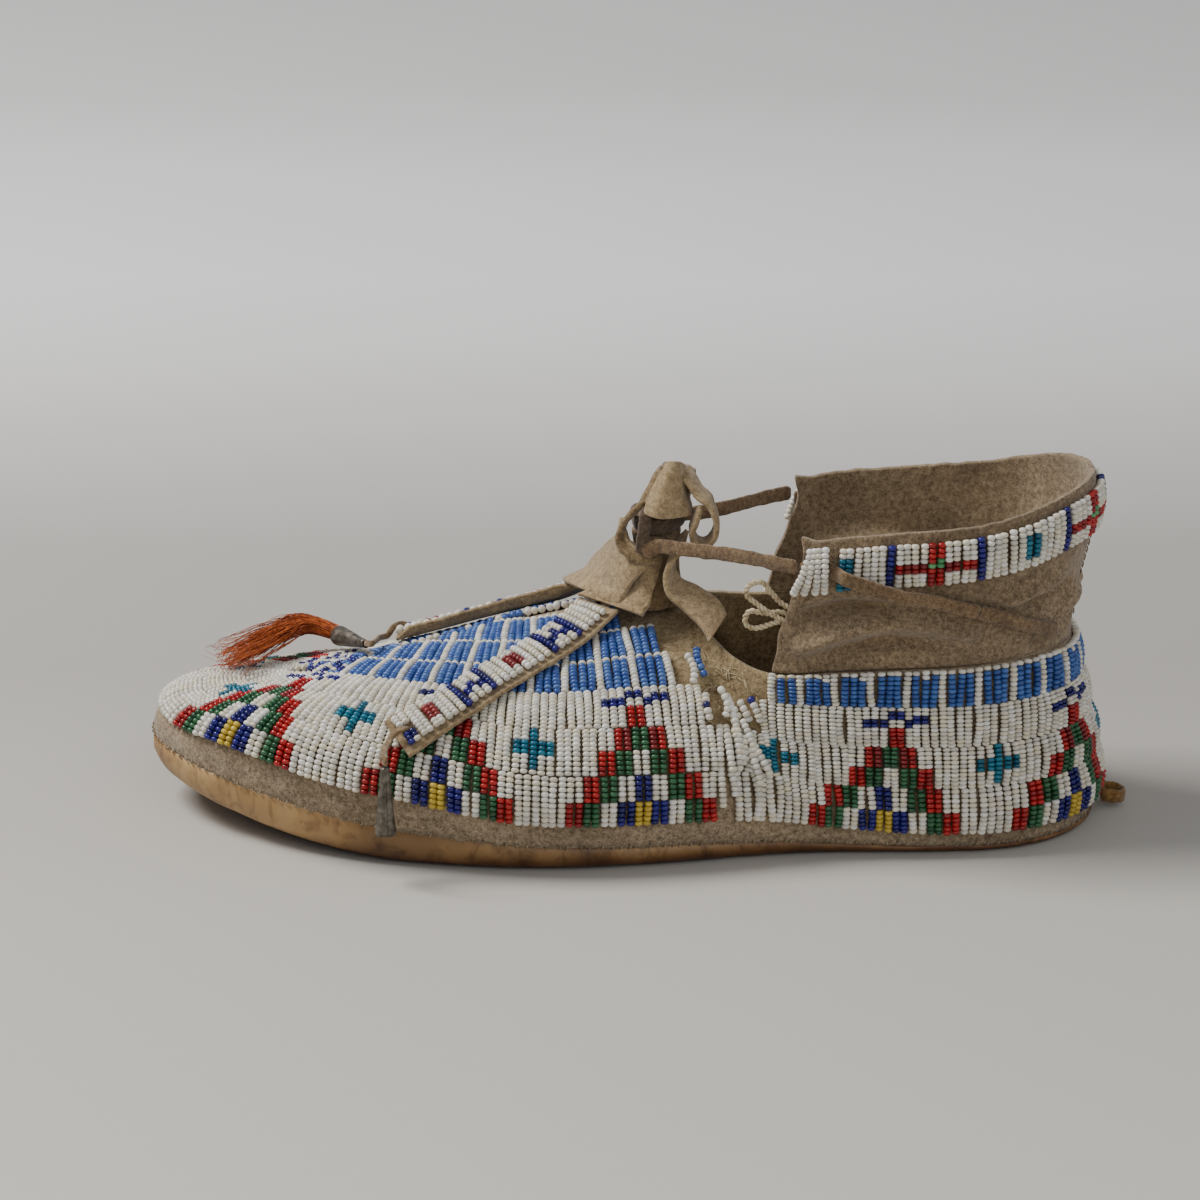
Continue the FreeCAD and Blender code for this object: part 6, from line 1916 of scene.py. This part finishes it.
def loose_strings():
    beads, fray, frad = [], [], []
    first = True
    for side in (-1, 1):
        for i, a0, a1, b0, b1 in ((9.55, 24.6, 31.2, 1.3, 2.2), (9.95, 25.4, 32.6, 1.4, 3.0), (10.35, 25.0, 31.2, 1.6, 2.4), (10.75, 26.0, 32.6, 1.4, 2.8), (11.15, 26.2, 32.0, 1.4, 2.0), (11.5, 27.0, 33.6, 1.6, 1.8), (9.35, 35.0, 42.8, 1.0, 2.6), (9.7, 36.4, 44.0, 1.6, 3.0)):
            s = station(side, i)
            mg = REV["mg"](s)
            pr = profile_s(s)
            blue = a0 > 36
            m = max(4, int((a1 - a0) / 1.25))
            pts, nr = [], []
            sway = RNG.uniform(-1.6, 1.6)
            for j in range(m):
                v = (j + 0.5) / m
                a = mg + a0 + (a1 - a0) * v
                s2 = s + 0.08 * sway * math.sin(math.pi * v)
                t = t_of_arc(pr, a)
                p, n = P(s2, t), normal(s, t)
                pts.append(add(p, n, BEAD_R + lerp(b0, b1, v) + 0.6 * math.sin(math.pi * v)))
                nr.append(n)
            col = [("B" if blue else "W")] * m
            if RNG.random() < 0.3:
                col[RNG.randrange(m)] = "N"
            beads += string_beads(pts, nr, col, BEAD_R * 0.97)
    # a two-ply thread that loops out at the edge of the mouth
    plies, thick = [], []
    for path in LOOPS:
        ln = even_line(path, 150)
        run = 0.0
        twist = ([], [])
        for k, p in enumerate(ln):
            q, r = ln[max(k - 1, 0)], ln[min(k + 1, len(ln) - 1)]
            d = unit(sub(r, q))
            run += math.dist(q, p)
            u = unit(cross(d, (0.0, 1.0, 0.15)))
            v = cross(d, u)
            for w, ph in ((0, 0.0), (1, math.pi)):
                an = run * 2 * math.pi / 2.6 + ph
                twist[w].append(add(add(p, u, 0.34 * math.cos(an)), v, 0.34 * math.sin(an)))
        plies += list(twist)
        thick += [0.42, 0.42]
    tubes("mouth_thread", plies, thick, [SINEW], "lateral_wing", (), sides=8)
    # threads that hang down over the worn part of the lanes
    for q in range(7):
        i = 9.9 + 0.17 * q + RNG.uniform(-0.03, 0.03)
        s = station(-1, i)
        mg = REV["mg"](s)
        a0 = RNG.uniform(9.0, 17.0)
        m = RNG.randint(5, 9)
        lean, curve = RNG.uniform(-0.12, 0.12), RNG.uniform(-0.10, 0.10)
        pts, nr = [], []
        for j in range(m):
            v = (j + 0.5) / m
            s2 = s + lean * (v - 0.5) * 2 + curve * math.sin(math.pi * v)
            p, n = spot2(s2, mg + a0 + 1.25 * m * v)
            pts.append(add(p, n, BEAD_R * 3.05 + 0.5 * math.sin(math.pi * v)))
            nr.append(n)
        beads += string_beads(pts, nr, ["W"] * m, BEAD_R * 0.97)
    bead_piece("loose_bead_strings", beads, "shoe", ("loose_vamp_strings",))
    # frayed hide fibres where the beads have come away
    for k in range(150):
        side = -1 if RNG.random() < 0.6 else 1
        i = RNG.uniform(9.3, 11.7)
        s = station(side, i)
        mg = REV["mg"](s)
        L = length_s(s)
        a = RNG.uniform(mg + 22, min(mg + 46, L - 0.5))
        pr = profile_s(s)
        t = t_of_arc(pr, a)
        p, n = P(s, t), normal(s, t)
        d = unit((RNG.gauss(0, 1), RNG.gauss(0, 1), RNG.gauss(0, 1)))
        d = unit(add(d, n, -dot(d, n) * 0.7))
        l = RNG.uniform(1.2, 4.2)
        h = RNG.uniform(0.3, 1.3)
        q0 = add(p, n, 0.1)
        q1 = add(add(p, d, l * 0.35), n, h)
        q2 = add(add(p, d, l * 0.75), n, h * 0.9)
        q3 = add(add(add(p, d, l), n, h * 0.4), (0, 0, -0.25))
        fray.append(smooth_line([q0, q1, q2, q3], 7))
        frad.append(RNG.uniform(0.06, 0.13))
    tubes("frayed_fibres", fray, frad, [SINEW], "shoe", (), sides=4)


loose_strings()


# ---------------------------------------------------------------------------
# floor, light and camera
# ---------------------------------------------------------------------------
def stage():
    m, nt, bs = new_mat("floor_paper_painted_light_and_shade")
    co = object_co(nt)
    a = noise_node(nt, co, 3.0, 2.0, 0.5)
    sep = put(nt, "ShaderNodeSeparateXYZ")
    nt.links.new(co, sep.inputs[0])
    # floor colour graded by depth: painted shade in a dark band just behind the shoe, painted light in a bright band
    # further back, dimming again beyond
    deep = math_node(nt, "ADD", math_node(nt, "MULTIPLY", sep.outputs[1], 1.0), math_node(nt, "MULTIPLY", a, 0.03))
    deep = math_node(nt, "MULTIPLY", math_node(nt, "ADD", deep, 0.5), 0.8, True)
    nt.links.new(ramp(nt, deep, [(0.20, lin(206, 202, 193)), (0.36, lin(194, 190, 182)), (0.44, lin(184, 180, 173)), (0.50, lin(175, 171, 165)), (0.58, lin(178, 175, 170)), (0.66, lin(202, 200, 197)), (0.74, lin(228, 227, 226)), (0.80, lin(238, 238, 238)), (0.90, lin(236, 236, 236)), (1.0, lin(222, 221, 220))]), bs.inputs["Base Color"])
    bs.inputs["Roughness"].default_value = 0.75
    bs.inputs["Specular IOR Level"].default_value = 0.25
    verts, faces = [], []
    prof = [(-2600.0, 0.0)]
    for k in range(13):
        an = math.pi / 2 * k / 12
        prof.append((1400.0 + 600.0 * math.sin(an), 600.0 - 600.0 * math.cos(an)))
    prof.append((2000.0, 3200.0))
    for y, z in prof:
        for x in (-4200.0, 4200.0):
            verts.append((x / 1000, y / 1000, z / 1000))
    for k in range(len(prof) - 1):
        faces.append((2 * k, 2 * k + 1, 2 * k + 3, 2 * k + 2))
    me = bpy.data.meshes.new("floor")
    me.from_pydata(verts, [], faces)
    me.materials.append(m)
    me.polygons.foreach_set("use_smooth", [True] * len(me.polygons))
    ob = bpy.data.objects.new("floor", me)
    bpy.context.scene.collection.objects.link(ob)

    def area(name, loc, target, size, power, color):
        li = bpy.data.lights.new(name, "AREA")
        li.shape = "RECTANGLE"
        li.size, li.size_y = size
        li.energy = power
        li.color = color
        o = bpy.data.objects.new(name, li)
        bpy.context.scene.collection.objects.link(o)
        o.location = loc
        o.rotation_euler = (Vector(target) - Vector(loc)).to_track_quat("-Z", "Y").to_euler()

    area("key", (-0.85, 0.15, 1.15), (0.0, 0.0, 0.03), (0.6, 0.6), 23.0, (1.0, 0.985, 0.96))
    area("fill", (0.5, -1.5, 1.0), (0.0, 0.0, 0.03), (1.4, 1.0), 6.5, (0.97, 0.98, 1.0))
    area("side", (1.5, -0.1, 0.9), (0.0, 0.0, 0.03), (1.0, 1.0), 2.6, (1.0, 0.99, 0.97))
    w = bpy.data.worlds.new("studio")
    w.use_nodes = True
    bg = w.node_tree.nodes["Background"]
    bg.inputs[0].default_value = (0.93, 0.95, 1.0, 1.0)
    bg.inputs[1].default_value = 0.30
    bpy.context.scene.world = w

    cam = bpy.data.cameras.new("camera")
    cam.lens = 187.2
    cam.sensor_width = 36.0
    cam.clip_start, cam.clip_end = 0.05, 50.0
    cam.dof.use_dof = False
    o = bpy.data.objects.new("camera", cam)
    bpy.context.scene.collection.objects.link(o)
    a = math.radians(21.0)
    o.location = (FX / 1000, -1.6 * math.cos(a) + FY / 1000, 1.6 * math.sin(a))
    o.rotation_euler = (math.radians(70.872), 0.0, math.radians(0.275))
    bpy.context.scene.camera = o


stage()
